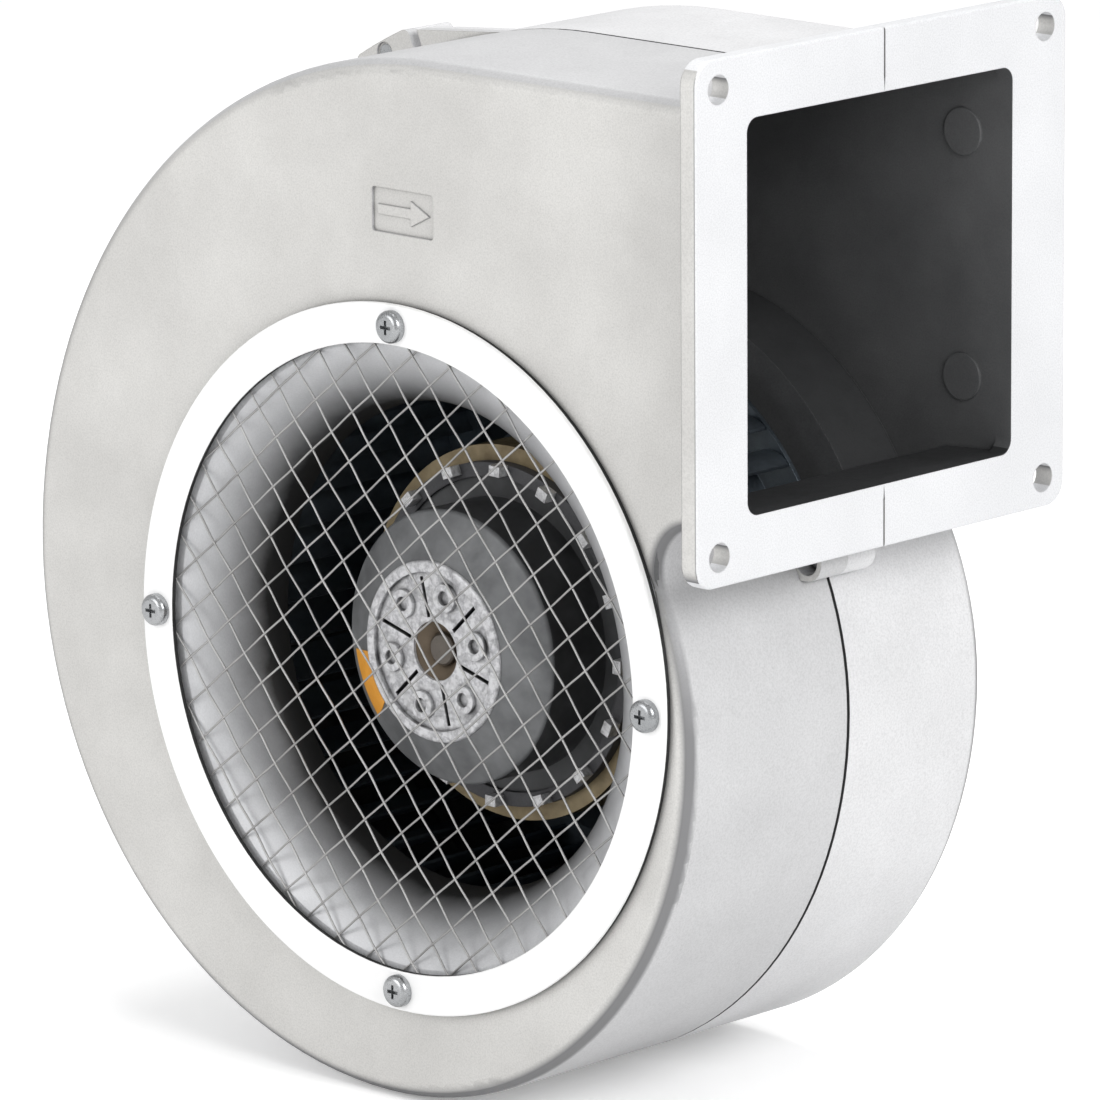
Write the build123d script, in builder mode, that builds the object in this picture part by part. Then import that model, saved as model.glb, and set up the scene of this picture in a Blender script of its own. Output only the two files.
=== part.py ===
from build123d import *
import os
from math import asin, cos, degrees, radians, sin

# Combustion fan: a single-inlet centrifugal blower in a two-part cast scroll, driven by an
# external-rotor motor that sits inside the impeller.
# Frame: origin at the centre of the outlet flange's bolt pattern, on the flange face.
# +X points out of the outlet, +Z is up, and the fan axis runs along Y with the inlet at -Y.
# All lengths are in millimetres, all angles in degrees.

os.makedirs("parts", exist_ok=True)

# ---- fan axis and casing ----
AXIS_X = -103.6
AXIS_Z = -95.9
FRONT_Y = -56.5
REAR_Y = 49.5
WALL = 3.5
EDGE_FILLET = 4.0
OUTLET_HALF_HEIGHT = 47.0
OUTLET_FRONT_Y = -48.0
OUTLET_REAR_Y = 46.0
NOTCH_R = 11.5
# The duct's floor falls a little from the opening to the rounded nose that cuts off the scroll,
# given from the fan axis, and the nose's inner side joins the first quarter of the volute.
NOSE_POINT = (80.8, 47.7)
NOSE_LIFT = 30.0
NOSE_R = 3.0
# The scroll is a four-centre volute: each quarter turn's radius grows by VOLUTE_STEP, and the
# last quarter ends level with the top of the outlet duct.
VOLUTE_STEP = 18.0
VOLUTE_HALF = VOLUTE_STEP / 2
VOLUTE_FIRST_R = OUTLET_HALF_HEIGHT + WALL - AXIS_Z - 3.5 * VOLUTE_STEP
QUARTER_CENTRES = (
    (VOLUTE_HALF, -VOLUTE_HALF),
    (-VOLUTE_HALF, -VOLUTE_HALF),
    (-VOLUTE_HALF, VOLUTE_HALF),
    (VOLUTE_HALF, VOLUTE_HALF),
)

# ---- outlet flange ----
FLANGE_WIDTH = 131.5
FLANGE_HEIGHT = 124.5
FLANGE_THICKNESS = 5.0
FLANGE_CORNER_R = 6.0
FLANGE_EDGE_R = 0.8
OPENING_CORNER_R = 3.5
FLANGE_HOLE_R = 3.5
FLANGE_SPACING_Y = 115.5
FLANGE_SPACING_Z = 110.0

# ---- inlet: casing opening, guard, gasket and ring ----
INLET_HOLE_R = 78.6
CONE_SEAT_R = 86.4
CONE_SEAT_DEPTH = 1.5
INLET_SCREW_CIRCLE_R = 82.0
RING_INNER_R = 77.3
RING_OUTER_R = 87.2
RING_THICKNESS = 1.5
GASKET_INNER_R = 80.2
GASKET_OUTER_R = 86.8
GASKET_THICKNESS = 1.5
GUARD_R = 79.8
GUARD_PITCH = 8.83
GUARD_WIRE = 0.75
GUARD_ANGLE = 39.4
GUARD_SHIFTS = (2.45, -1.9)
THROAT_R = 60.0
THROAT_Y = -36.1
CONE_SHEET = 1.2

# ---- impeller ----
IMPELLER_R = 70.0
BLADE_INNER_R = 62.4
BLADE_COUNT = 40
BLADE_SHEET = 0.8
BLADE_SWEEP = 7.0
BLADE_BULGE = 2.2
BLADE_FRONT_Y = -38.6
BACK_RIM_Y = 20.0
BACK_SHEET = 1.2
BACK_HUB_Y = 11.0

# ---- motor ----
PLATEAU_R = 80.0
PLATEAU_Y = 26.0
SHAFT_R = 4.0
HUB_R = 22.4
HUB_Y = -47.2
BUSH_R = 7.3
BELL_R = 34.0
BELL_CREST_Y = -46.4
BELL_Y = -40.4
CORE_FRONT_Y = -20.0
CORE_REAR_Y = 8.0
ROTOR_CORE_INNER_R = 34.0
ROTOR_CORE_OUTER_R = 46.5
STATOR_R = 33.4
TUBE_R = 13.4
BEARING_R = 11.0
BEARING_WIDTH = 7.0
FRONT_BEARING_Y = -22.5
REAR_BEARING_Y = 15.5
BALL_R = 1.98
BALL_PITCH_R = 7.5
BALL_COUNT = 7
GROOVE_R = 2.04
POCKET_R = 2.06
CAGE_WIDTH = 5.2
CAGE_SHEET = 1.2
INNER_RACE_R = 6.1
OUTER_RACE_R = 8.9
FIN_COUNT = 16
FIN_PHASE = -1.5

# ---- fasteners ----
M4_R = 2.0
M4_CLEARANCE_R = 2.25
M4_HEAD_R = 4.0
M4_HEAD_HEIGHT = 2.6
CONTACT = 0.02

axis_y = Axis((AXIS_X, 0, AXIS_Z), (0, 1, 0))
revolve_plane = Plane(origin=(AXIS_X, 0, AXIS_Z), x_dir=(1, 0, 0), z_dir=(0, 0, 1))


def facing_inlet(y):
    """Sketch plane across the fan axis, local x along +X and local y along +Z, normal to -Y."""
    return Plane(origin=(AXIS_X, y, AXIS_Z), x_dir=(1, 0, 0), z_dir=(0, -1, 0))


def inlet_plane(y, point):
    """Plane facing the inlet, centred on a point given from the fan axis."""
    x, z = point
    return Plane(origin=(AXIS_X + x, y, AXIS_Z + z), x_dir=(1, 0, 0), z_dir=(0, -1, 0))


def rear_plane(y, point):
    """Plane facing away from the inlet, centred on a point given from the fan axis."""
    x, z = point
    return Plane(origin=(AXIS_X + x, y, AXIS_Z + z), x_dir=(1, 0, 0), z_dir=(0, 1, 0))


def polar(radius, angle):
    """Point at a radius and an angle in a sketch plane centred on the fan axis."""
    return (radius * cos(radians(angle)), radius * sin(radians(angle)))


def save(builder, label):
    """Name a finished piece and write it to its own file."""
    builder.part.label = label
    export_step(builder.part, f"parts/{label}.step")


def turned(points):
    """Piece turned about the fan axis from a closed outline of (radius, y) corners."""
    with BuildPart() as piece:
        with BuildSketch(revolve_plane):
            with BuildLine():
                Polyline(*points, close=True)
            make_face()
        revolve(axis=axis_y)
    return piece


# ---------------------------------------------------------------- scroll casing


def scroll_outline(inset, right_x):
    """Closed outer outline of scroll and outlet duct, moved inwards by inset."""
    bottom_z = -OUTLET_HALF_HEIGHT - WALL + inset - AXIS_Z
    first_r = VOLUTE_FIRST_R - inset
    lift = asin((bottom_z + VOLUTE_HALF) / first_r)
    notch = (VOLUTE_HALF + first_r * cos(lift), bottom_z)
    with BuildSketch(Plane.XY) as outline:
        with BuildLine():
            Line((right_x - AXIS_X, bottom_z), notch)
            CenterArc(QUARTER_CENTRES[0], first_r, degrees(lift), -degrees(lift))
            scroll_sweep(inset, right_x)
        make_face()
        corner = outline.vertices().sort_by_distance((*notch, 0))[0]
        fillet(corner, radius=NOTCH_R + inset)
    return outline.sketch


def passage_outline(right_x):
    """Closed outline of the flow passage, with the falling floor and the cut-off nose."""
    floor_z = -OUTLET_HALF_HEIGHT - AXIS_Z
    first_r = VOLUTE_FIRST_R - WALL
    with BuildSketch(Plane.XY) as outline:
        with BuildLine():
            Line((right_x - AXIS_X, floor_z), NOSE_POINT)
            throat = CenterArc(QUARTER_CENTRES[0], first_r, NOSE_LIFT, -NOSE_LIFT)
            Line(NOSE_POINT, throat @ 0)
            scroll_sweep(WALL, right_x)
        make_face()
        nose = outline.vertices().sort_by_distance((*NOSE_POINT, 0))[0]
        fillet(nose, radius=NOSE_R)
    return outline.sketch


def scroll_sweep(inset, right_x):
    """Lines of the last three quarters of the volute, the duct's top and its outlet end."""
    right = right_x - AXIS_X
    top_z = OUTLET_HALF_HEIGHT + WALL - inset - AXIS_Z
    bottom_z = -OUTLET_HALF_HEIGHT - WALL + inset - AXIS_Z
    for quarter in (1, 2, 3):
        radius = VOLUTE_FIRST_R - inset + quarter * VOLUTE_STEP
        CenterArc(QUARTER_CENTRES[quarter], radius, 90 - quarter * 90, -90)
    Line((VOLUTE_HALF, top_z), (right, top_z))
    Line((right, top_z), (right, bottom_z))


# Screw lugs stand on the scroll at the split plane: (quarter of the volute, angle in it).
LUGS = ((3, 117.6), (3, 166.0), (2, 222.0))
LUG_SPAN = 8.0
LUG_HEIGHT = 7.2
LUG_CORNER_R = 2.0
LUG_ROOT = 2.0
LUG_FRONT_Y = -3.5
LUG_REAR_Y = 12.0
LUG_SCREW_OFFSET = 4.2
# A stop rib stands just after the first lug and runs out along the wall.
RIB_START = 112.4
RIB_END = 101.0
RIB_HEIGHT = 5.8
RIB_REAR_Y = 3.5
# Small screw boss in the notch under the outlet duct, with a pocket for the screw's head.
NOTCH_BOSS = (87.4, 29.2)
NOTCH_BOSS_R = 4.8
NOTCH_BOSS_FRONT_Y = -9.5
NOTCH_BOSS_REAR_Y = 10.0
NOTCH_POCKET_R = 3.4
NOTCH_POCKET_DEPTH = 6.5
# Groove round the parting line of the two halves.
GROOVE_HALF_WIDTH = 0.5
GROOVE_DEPTH = 0.8
FLANGE_GROOVE_HALF_WIDTH = 0.25
FLANGE_GROOVE_DEPTH = 0.4


def on_volute(quarter, angle, offset):
    """Point outside the scroll wall, at an angle about the centre of a quarter of the volute."""
    radius = VOLUTE_FIRST_R + quarter * VOLUTE_STEP + offset
    centre = QUARTER_CENTRES[quarter]
    return (centre[0] + radius * cos(radians(angle)), centre[1] + radius * sin(radians(angle)))


def lug_screw_centres():
    """Centres of the screws in the large lugs, just outside the scroll wall."""
    return [on_volute(quarter, angle, LUG_SCREW_OFFSET) for quarter, angle in LUGS]


def lug_tab(quarter, angle):
    """Outline of a lug: a short tab that follows the scroll wall, with rounded outer corners."""
    first = angle - LUG_SPAN / 2
    last = angle + LUG_SPAN / 2
    with BuildSketch(Plane.XY) as tab:
        with BuildLine():
            Line(on_volute(quarter, first, -LUG_ROOT), on_volute(quarter, first, LUG_HEIGHT))
            ThreePointArc(
                on_volute(quarter, first, LUG_HEIGHT),
                on_volute(quarter, angle, LUG_HEIGHT),
                on_volute(quarter, last, LUG_HEIGHT),
            )
            Line(on_volute(quarter, last, LUG_HEIGHT), on_volute(quarter, last, -LUG_ROOT))
            Line(on_volute(quarter, last, -LUG_ROOT), on_volute(quarter, first, -LUG_ROOT))
        make_face()
        outer_corners = tab.vertices().sort_by_distance((0, 0, 0))[-2:]
        fillet(outer_corners, radius=LUG_CORNER_R)
    return tab.sketch


def stop_rib():
    """Outline of the long thin rib after the first lug."""
    quarter = LUGS[0][0]
    with BuildSketch(Plane.XY) as rib:
        with BuildLine():
            Polyline(
                on_volute(quarter, RIB_START, -LUG_ROOT),
                on_volute(quarter, RIB_START, RIB_HEIGHT),
                on_volute(quarter, RIB_END, 0.0),
                on_volute(quarter, RIB_END, -LUG_ROOT),
                close=True,
            )
        make_face()
    return rib.sketch


def notch_boss():
    """Outline of the boss in the notch, tied to the scroll wall by a web of its own width."""
    x, z = NOTCH_BOSS
    with BuildSketch(Plane.XY) as boss:
        with Locations(NOTCH_BOSS):
            Circle(NOTCH_BOSS_R)
        with Locations((x - NOTCH_BOSS_R, z)):
            Rectangle(2 * NOTCH_BOSS_R, 2 * NOTCH_BOSS_R)
    return boss.sketch


def grooved_shell():
    """Solid scroll with rounded rims and the groove round its parting line."""
    with BuildPart() as shell:
        with BuildSketch(facing_inlet(FRONT_Y)):
            add(scroll_outline(0, 0))
        extrude(amount=-(REAR_Y - FRONT_Y))
        rims = [e for e in shell.edges().filter_by(Plane.XZ) if e.center().X < -1]
        fillet(rims, radius=EDGE_FILLET)
        with BuildSketch(facing_inlet(-GROOVE_HALF_WIDTH)):
            add(scroll_outline(0, -FLANGE_THICKNESS))
            add(scroll_outline(GROOVE_DEPTH, -FLANGE_THICKNESS), mode=Mode.SUBTRACT)
        extrude(amount=-2 * GROOVE_HALF_WIDTH, mode=Mode.SUBTRACT)
    return shell.part


def outlet_flange():
    """Square flange plate with softened edges and a fine groove at the parting line."""
    with BuildPart() as flange:
        with BuildSketch(Plane.YZ):
            RectangleRounded(FLANGE_WIDTH, FLANGE_HEIGHT, FLANGE_CORNER_R)
        extrude(amount=-FLANGE_THICKNESS)
        fillet(flange.edges().filter_by(Plane.YZ), radius=FLANGE_EDGE_R)
        with BuildSketch(Plane.YZ):
            Rectangle(2 * FLANGE_GROOVE_HALF_WIDTH, FLANGE_HEIGHT)
        extrude(amount=-FLANGE_GROOVE_DEPTH, mode=Mode.SUBTRACT)
    return flange.part


def outer_body():
    """Scroll, flange, screw lugs, stop rib and notch boss, still solid inside and in one piece."""
    with BuildPart() as body:
        add(grooved_shell())
        with BuildSketch(facing_inlet(LUG_FRONT_Y)):
            for quarter, angle in LUGS:
                add(lug_tab(quarter, angle))
        extrude(amount=-(LUG_REAR_Y - LUG_FRONT_Y))
        with BuildSketch(facing_inlet(LUG_FRONT_Y)):
            add(stop_rib())
        extrude(amount=-(RIB_REAR_Y - LUG_FRONT_Y))
        with BuildSketch(facing_inlet(NOTCH_BOSS_FRONT_Y)):
            add(notch_boss())
        extrude(amount=-(NOTCH_BOSS_REAR_Y - NOTCH_BOSS_FRONT_Y))
        add(outlet_flange())
    return body.part


INLET_BOSS_R = 5.0
INLET_BOSS_DEPTH = 6.0
PAD_SIZE = (20.2, 10.8)
PAD_CENTRE = (0.7, 109.1)
PAD_DEPTH = 0.8
PAD_CORNER_R = 0.8
ARROW_RELIEF = 0.5
RELIEF_R = 36.0
MARK_R = 5.8
MARK_CENTRES = ((88.2, 65.6), (88.2, 125.4))
MARK_HEIGHT = 0.5


def flow_passage():
    """Room inside the scroll and the duct."""
    with BuildPart() as passage:
        with BuildSketch(facing_inlet(FRONT_Y + WALL)):
            add(passage_outline(-FLANGE_THICKNESS))
        extrude(amount=-(REAR_Y - FRONT_Y - 2 * WALL))
    return passage.part


def pad_recess():
    """Shallow rounded recess in the front face, with a flow arrow left standing in it."""
    x, z = PAD_CENTRE
    with BuildPart() as recess:
        with BuildSketch(facing_inlet(FRONT_Y)):
            with Locations((x, z)):
                RectangleRounded(*PAD_SIZE, PAD_CORNER_R)
        extrude(amount=-PAD_DEPTH)
        with BuildSketch(facing_inlet(FRONT_Y + PAD_DEPTH)):
            add(flow_arrow())
        extrude(amount=ARROW_RELIEF, mode=Mode.SUBTRACT)
    return recess.part


def hollow_casing():
    """Outer body with the flow passage, inlet, plateau, bosses and holes."""
    with BuildPart() as casing:
        add(outer_body())
        add(flow_passage(), mode=Mode.SUBTRACT)
        # outlet opening through the flange
        with BuildSketch(Plane.YZ):
            with Locations(((OUTLET_FRONT_Y + OUTLET_REAR_Y) / 2, 0)):
                RectangleRounded(
                    OUTLET_REAR_Y - OUTLET_FRONT_Y, 2 * OUTLET_HALF_HEIGHT, OPENING_CORNER_R
                )
        extrude(amount=-FLANGE_THICKNESS - 1, mode=Mode.SUBTRACT)
        # raised motor plateau: filled from inside, then dished from the rear
        with BuildSketch(facing_inlet(PLATEAU_Y)):
            Circle(PLATEAU_R)
        extrude(amount=-(REAR_Y - PLATEAU_Y))
        with BuildSketch(facing_inlet(PLATEAU_Y + WALL)):
            Circle(PLATEAU_R - WALL)
        extrude(amount=-(REAR_Y - PLATEAU_Y), mode=Mode.SUBTRACT)
        with BuildSketch(facing_inlet(PLATEAU_Y)):
            Circle(RELIEF_R)
        extrude(amount=-WALL, mode=Mode.SUBTRACT)
        # inlet opening, cone seat and screw bosses
        with BuildSketch(facing_inlet(FRONT_Y + CONE_SEAT_DEPTH)):
            with PolarLocations(INLET_SCREW_CIRCLE_R, 4):
                Circle(INLET_BOSS_R)
        extrude(amount=-(INLET_BOSS_DEPTH + WALL))
        with BuildSketch(facing_inlet(FRONT_Y)):
            Circle(INLET_HOLE_R)
        extrude(amount=-(INLET_BOSS_DEPTH + 2 * WALL), mode=Mode.SUBTRACT)
        with BuildSketch(facing_inlet(FRONT_Y)):
            Circle(CONE_SEAT_R)
        extrude(amount=-CONE_SEAT_DEPTH, mode=Mode.SUBTRACT)
        # ends of the rear bracket's screw bosses, standing a little into the duct
        with BuildSketch(facing_inlet(REAR_Y - WALL - MARK_HEIGHT)):
            with Locations(*MARK_CENTRES):
                Circle(MARK_R)
        extrude(amount=-(WALL + MARK_HEIGHT))
        add(pad_recess(), mode=Mode.SUBTRACT)
    return casing.part


def flow_arrow():
    """Plain arrow that points towards the outlet."""
    shaft_half = 1.2
    head_half = 3.1
    x, z = PAD_CENTRE
    tail_x = x - 8.6
    neck_x = x + 2.4
    tip_x = x + 8.6
    with BuildSketch(Plane.XY) as arrow:
        with BuildLine():
            Polyline(
                (tail_x, z - shaft_half),
                (neck_x, z - shaft_half),
                (neck_x, z - head_half),
                (tip_x, z),
                (neck_x, z + head_half),
                (neck_x, z + shaft_half),
                (tail_x, z + shaft_half),
                close=True,
            )
        make_face()
    return arrow.sketch


THREAD_R = 2.0
MOTOR_SCREW_CIRCLE_R = 42.0
LUG_SCREW_LENGTH = 15.0
LUG_MOUTH_R = 2.6
LUG_MOUTH_DEPTH = 0.6
M3_R = 1.5
M3_CLEARANCE_R = 1.7
M3_HEAD_R = 3.0
NOTCH_SCREW_LENGTH = 11.0
notch_seat_y = NOTCH_BOSS_FRONT_Y + NOTCH_POCKET_DEPTH
BRACKET_HOLE_DEPTH = 2.9


def rear_points(points):
    """Points given from the fan axis, as seen in a plane that faces the rear."""
    return [(x, -z) for x, z in points]


def casing_half(casing, keep_front):
    """One half of the casing, cut at the split plane, with its own holes."""
    side = Keep.TOP if keep_front else Keep.BOTTOM
    with BuildPart() as half:
        add(casing)
        split(bisect_by=Plane(origin=(0, 0, 0), z_dir=(0, -1, 0)), keep=side)
        # flange bolt holes
        with BuildSketch(Plane.YZ):
            with GridLocations(FLANGE_SPACING_Y, FLANGE_SPACING_Z, 2, 2):
                Circle(FLANGE_HOLE_R)
        extrude(amount=-FLANGE_THICKNESS, mode=Mode.SUBTRACT)
        # lug screws go through the rear lugs and thread into the front ones
        with BuildSketch(facing_inlet(LUG_FRONT_Y)):
            with Locations(*lug_screw_centres()):
                Circle(THREAD_R if keep_front else M4_CLEARANCE_R)
        extrude(amount=-(LUG_REAR_Y - LUG_FRONT_Y), mode=Mode.SUBTRACT)
        # the small boss in the notch is screwed from the front and threaded in the rear half
        with BuildSketch(facing_inlet(NOTCH_BOSS_FRONT_Y)):
            with Locations(NOTCH_BOSS):
                Circle(M3_CLEARANCE_R if keep_front else M3_R)
        extrude(amount=-(NOTCH_POCKET_DEPTH + NOTCH_SCREW_LENGTH + 1), mode=Mode.SUBTRACT)
        if keep_front:
            with BuildSketch(facing_inlet(NOTCH_BOSS_FRONT_Y)):
                with Locations(NOTCH_BOSS):
                    Circle(NOTCH_POCKET_R)
            extrude(amount=-NOTCH_POCKET_DEPTH, mode=Mode.SUBTRACT)
            with BuildSketch(facing_inlet(LUG_FRONT_Y)):
                with Locations(*lug_screw_centres()):
                    Circle(LUG_MOUTH_R)
            extrude(amount=-LUG_MOUTH_DEPTH, mode=Mode.SUBTRACT)
            with BuildSketch(facing_inlet(FRONT_Y)):
                with PolarLocations(INLET_SCREW_CIRCLE_R, 4):
                    Circle(THREAD_R)
            extrude(amount=-(WALL + INLET_BOSS_DEPTH), mode=Mode.SUBTRACT)
        else:
            with BuildSketch(facing_inlet(PLATEAU_Y)):
                with PolarLocations(MOTOR_SCREW_CIRCLE_R, 4, start_angle=45):
                    Circle(THREAD_R)
            extrude(amount=-WALL, mode=Mode.SUBTRACT)
            # blind holes for the capacitor bracket's screws
            with BuildSketch(rear_plane(REAR_Y, (0, 0))):
                with Locations(*rear_points(MARK_CENTRES)):
                    Circle(THREAD_R)
            extrude(amount=-BRACKET_HOLE_DEPTH, mode=Mode.SUBTRACT)
    return half


casing = hollow_casing()
save(casing_half(casing, True), "front_housing")
save(casing_half(casing, False), "rear_housing")


# ---------------------------------------------------------------- inlet

def pan_screw(plane, length, head_r=M4_HEAD_R, shank_r=M4_R):
    """Cross-recess pan-head screw whose head sits on the plane and shank runs behind it."""
    slot_length = 0.86 * head_r
    slot_width = 0.2 * head_r
    recess = 0.58 * M4_HEAD_HEIGHT
    with BuildPart() as screw:
        with BuildSketch(plane):
            Circle(head_r)
        extrude(amount=M4_HEAD_HEIGHT)
        top = screw.faces().sort_by(Axis(plane.origin, plane.z_dir))[-1]
        fillet(top.edges(), radius=M4_HEAD_HEIGHT * 0.6)
        with BuildSketch(plane):
            Circle(shank_r)
        extrude(amount=-length)
        with BuildSketch(plane.offset(M4_HEAD_HEIGHT)):
            Rectangle(slot_length, slot_width)
            Rectangle(slot_width, slot_length)
        extrude(amount=-recess, mode=Mode.SUBTRACT)
    return screw.part


def screw_group(planes, length):
    """Identical screws as separate solids of one piece."""
    with BuildPart() as group:
        for plane in planes:
            add(pan_screw(plane, length))
    return group


def flat_ring(inner_r, outer_r, front_y, thickness, edge):
    """Annular plate with four screw holes and a softened front edge."""
    with BuildPart() as ring:
        with BuildSketch(facing_inlet(front_y)):
            Circle(outer_r)
            Circle(inner_r, mode=Mode.SUBTRACT)
            with PolarLocations(INLET_SCREW_CIRCLE_R, 4):
                Circle(M4_CLEARANCE_R, mode=Mode.SUBTRACT)
        extrude(amount=-thickness)
        if edge > 0:
            front = ring.faces().sort_by(Axis.Y)[0]
            rims = front.edges().sort_by(SortBy.LENGTH)[-2:]
            fillet(rims, radius=edge)
    return ring


gasket_y = FRONT_Y - GASKET_THICKNESS
ring_y = gasket_y - RING_THICKNESS
save(flat_ring(RING_INNER_R, RING_OUTER_R, ring_y, RING_THICKNESS, 0.5), "inlet_ring")
save(flat_ring(GASKET_INNER_R, GASKET_OUTER_R, gasket_y, GASKET_THICKNESS, 0), "inlet_gasket")


def guard_layer(angle, shift, depth_y):
    """One layer of parallel guard wires, trimmed to the guard's round outline."""
    count = 2 * int(GUARD_R / GUARD_PITCH) + 1
    turn = Plane(
        origin=(AXIS_X, depth_y, AXIS_Z),
        x_dir=(cos(radians(angle)), 0, sin(radians(angle))),
        z_dir=(0, -1, 0),
    )
    with BuildPart() as layer:
        with BuildSketch(turn):
            with Locations((0, shift)):
                with GridLocations(0, GUARD_PITCH, 1, count):
                    Rectangle(2.2 * GUARD_R, GUARD_WIRE)
            Circle(GUARD_R, mode=Mode.INTERSECT)
        extrude(amount=-GUARD_WIRE)
    return layer.part


def guard_mesh():
    """Two crossing layers of wire, welded where they touch."""
    with BuildPart() as guard:
        add(guard_layer(GUARD_ANGLE, GUARD_SHIFTS[0], gasket_y))
        add(guard_layer(GUARD_ANGLE - 90, GUARD_SHIFTS[1], gasket_y + GUARD_WIRE))
    return guard


save(guard_mesh(), "guard_mesh")


def inlet_cone():
    """Pressed bell mouth: flat flange, rounded run-in and short throat lip."""
    flange_back = FRONT_Y + CONE_SEAT_DEPTH
    with BuildPart() as cone:
        with BuildSketch(revolve_plane):
            with BuildLine():
                run_in = Bezier(
                    (THROAT_R, THROAT_Y),
                    (THROAT_R, THROAT_Y - 12),
                    (THROAT_R + 9, FRONT_Y + 3),
                    (INLET_HOLE_R - 2, FRONT_Y),
                )
                Line(run_in @ 1, (CONE_SEAT_R - 0.1, FRONT_Y))
                Line((CONE_SEAT_R - 0.1, FRONT_Y), (CONE_SEAT_R - 0.1, flange_back))
                Line((CONE_SEAT_R - 0.1, flange_back), (INLET_HOLE_R - 1.2, flange_back))
                Bezier(
                    (INLET_HOLE_R - 1.2, flange_back),
                    (THROAT_R + 9 + CONE_SHEET, FRONT_Y + 3 + CONE_SHEET),
                    (THROAT_R + CONE_SHEET, THROAT_Y - 11),
                    (THROAT_R + CONE_SHEET, THROAT_Y),
                )
                Line((THROAT_R + CONE_SHEET, THROAT_Y), (THROAT_R, THROAT_Y))
            make_face()
        revolve(axis=axis_y)
        with BuildSketch(facing_inlet(FRONT_Y)):
            with PolarLocations(INLET_SCREW_CIRCLE_R, 4):
                Circle(M4_CLEARANCE_R)
        extrude(amount=-CONE_SEAT_DEPTH, mode=Mode.SUBTRACT)
    return cone


save(inlet_cone(), "inlet_cone")

RING_SCREW_LENGTH = 11.0
ring_screw_planes = [
    inlet_plane(ring_y, polar(INLET_SCREW_CIRCLE_R, quarter * 90)) for quarter in range(4)
]
save(screw_group(ring_screw_planes, RING_SCREW_LENGTH), "ring_screws")

lug_screw_planes = [rear_plane(LUG_REAR_Y, centre) for centre in lug_screw_centres()]
save(screw_group(lug_screw_planes, LUG_SCREW_LENGTH), "housing_screws")

notch_seat = inlet_plane(notch_seat_y, NOTCH_BOSS)
with BuildPart() as notch_screw:
    add(pan_screw(notch_seat, NOTCH_SCREW_LENGTH, M3_HEAD_R, M3_R))
save(notch_screw, "notch_screw")


# ---------------------------------------------------------------- impeller

def impeller_back_plate():
    """Dished sheet: hub annulus on the rotor, cone, and flat rim that carries the blades."""
    inner_r = 37.0
    knee_r = 50.0
    rim_r = 60.0
    outer_r = IMPELLER_R + 0.6
    bend = 0.5
    return turned(
        [
            (inner_r, BACK_HUB_Y),
            (knee_r, BACK_HUB_Y),
            (rim_r, BACK_RIM_Y),
            (outer_r, BACK_RIM_Y),
            (outer_r, BACK_RIM_Y + BACK_SHEET),
            (rim_r - bend, BACK_RIM_Y + BACK_SHEET),
            (knee_r - bend, BACK_HUB_Y + BACK_SHEET),
            (inner_r, BACK_HUB_Y + BACK_SHEET),
        ]
    )


RIVET_CIRCLE_R = 42.0
RIVET_R = 1.6
RIVET_COUNT = 6

with BuildPart() as back_plate:
    add(impeller_back_plate().part)
    with BuildSketch(facing_inlet(BACK_HUB_Y)):
        with PolarLocations(RIVET_CIRCLE_R, RIVET_COUNT):
            Circle(RIVET_R)
    extrude(amount=-BACK_SHEET, mode=Mode.SUBTRACT)
save(back_plate, "impeller_back_plate")


def blade_profile():
    """Cross-section of one forward-curved blade at angle zero."""
    half = BLADE_SHEET / 2
    inner = Vector(*polar(BLADE_INNER_R, 0))
    outer = Vector(*polar(IMPELLER_R, -BLADE_SWEEP))
    chord = (outer - inner).normalized()
    normal = Vector(-chord.Y, chord.X)
    middle = (inner + outer) * 0.5 + normal * BLADE_BULGE
    side = normal * half
    with BuildSketch(Plane.XY) as profile:
        with BuildLine():
            ThreePointArc(inner + side, middle + side, outer + side)
            Line(outer + side, outer - side)
            ThreePointArc(outer - side, middle - side, inner - side)
            Line(inner - side, inner + side)
        make_face()
    return profile.sketch


with BuildPart() as blades:
    with BuildSketch(facing_inlet(BLADE_FRONT_Y)):
        for number in range(BLADE_COUNT):
            add(blade_profile().rotate(Axis.Z, number * 360 / BLADE_COUNT))
    extrude(amount=-(BACK_RIM_Y - BLADE_FRONT_Y))
save(blades, "impeller_blades")

SHROUD_INNER_R = 64.5
SHROUD_SHEET = 1.0
SHROUD_SKIRT = 4.0
SKIRT_INNER_R = IMPELLER_R + 0.5
SKIRT_OUTER_R = SKIRT_INNER_R + SHROUD_SHEET

shroud = turned(
    [
        (SHROUD_INNER_R, BLADE_FRONT_Y - SHROUD_SHEET),
        (SKIRT_OUTER_R, BLADE_FRONT_Y - SHROUD_SHEET),
        (SKIRT_OUTER_R, BLADE_FRONT_Y + SHROUD_SKIRT),
        (SKIRT_INNER_R, BLADE_FRONT_Y + SHROUD_SKIRT),
        (SKIRT_INNER_R, BLADE_FRONT_Y),
        (SHROUD_INNER_R, BLADE_FRONT_Y),
    ]
)
save(shroud, "impeller_shroud_ring")


# ---------------------------------------------------------------- rotor

HUB_RELIEF = 1.2
HUB_REAR_Y = BELL_Y + 4.5
HUB_SLEEVE_R = 8.6
HUB_BOSS_CIRCLE_R = 14.4
HUB_BOSS_PHASE = 14.0


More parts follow.
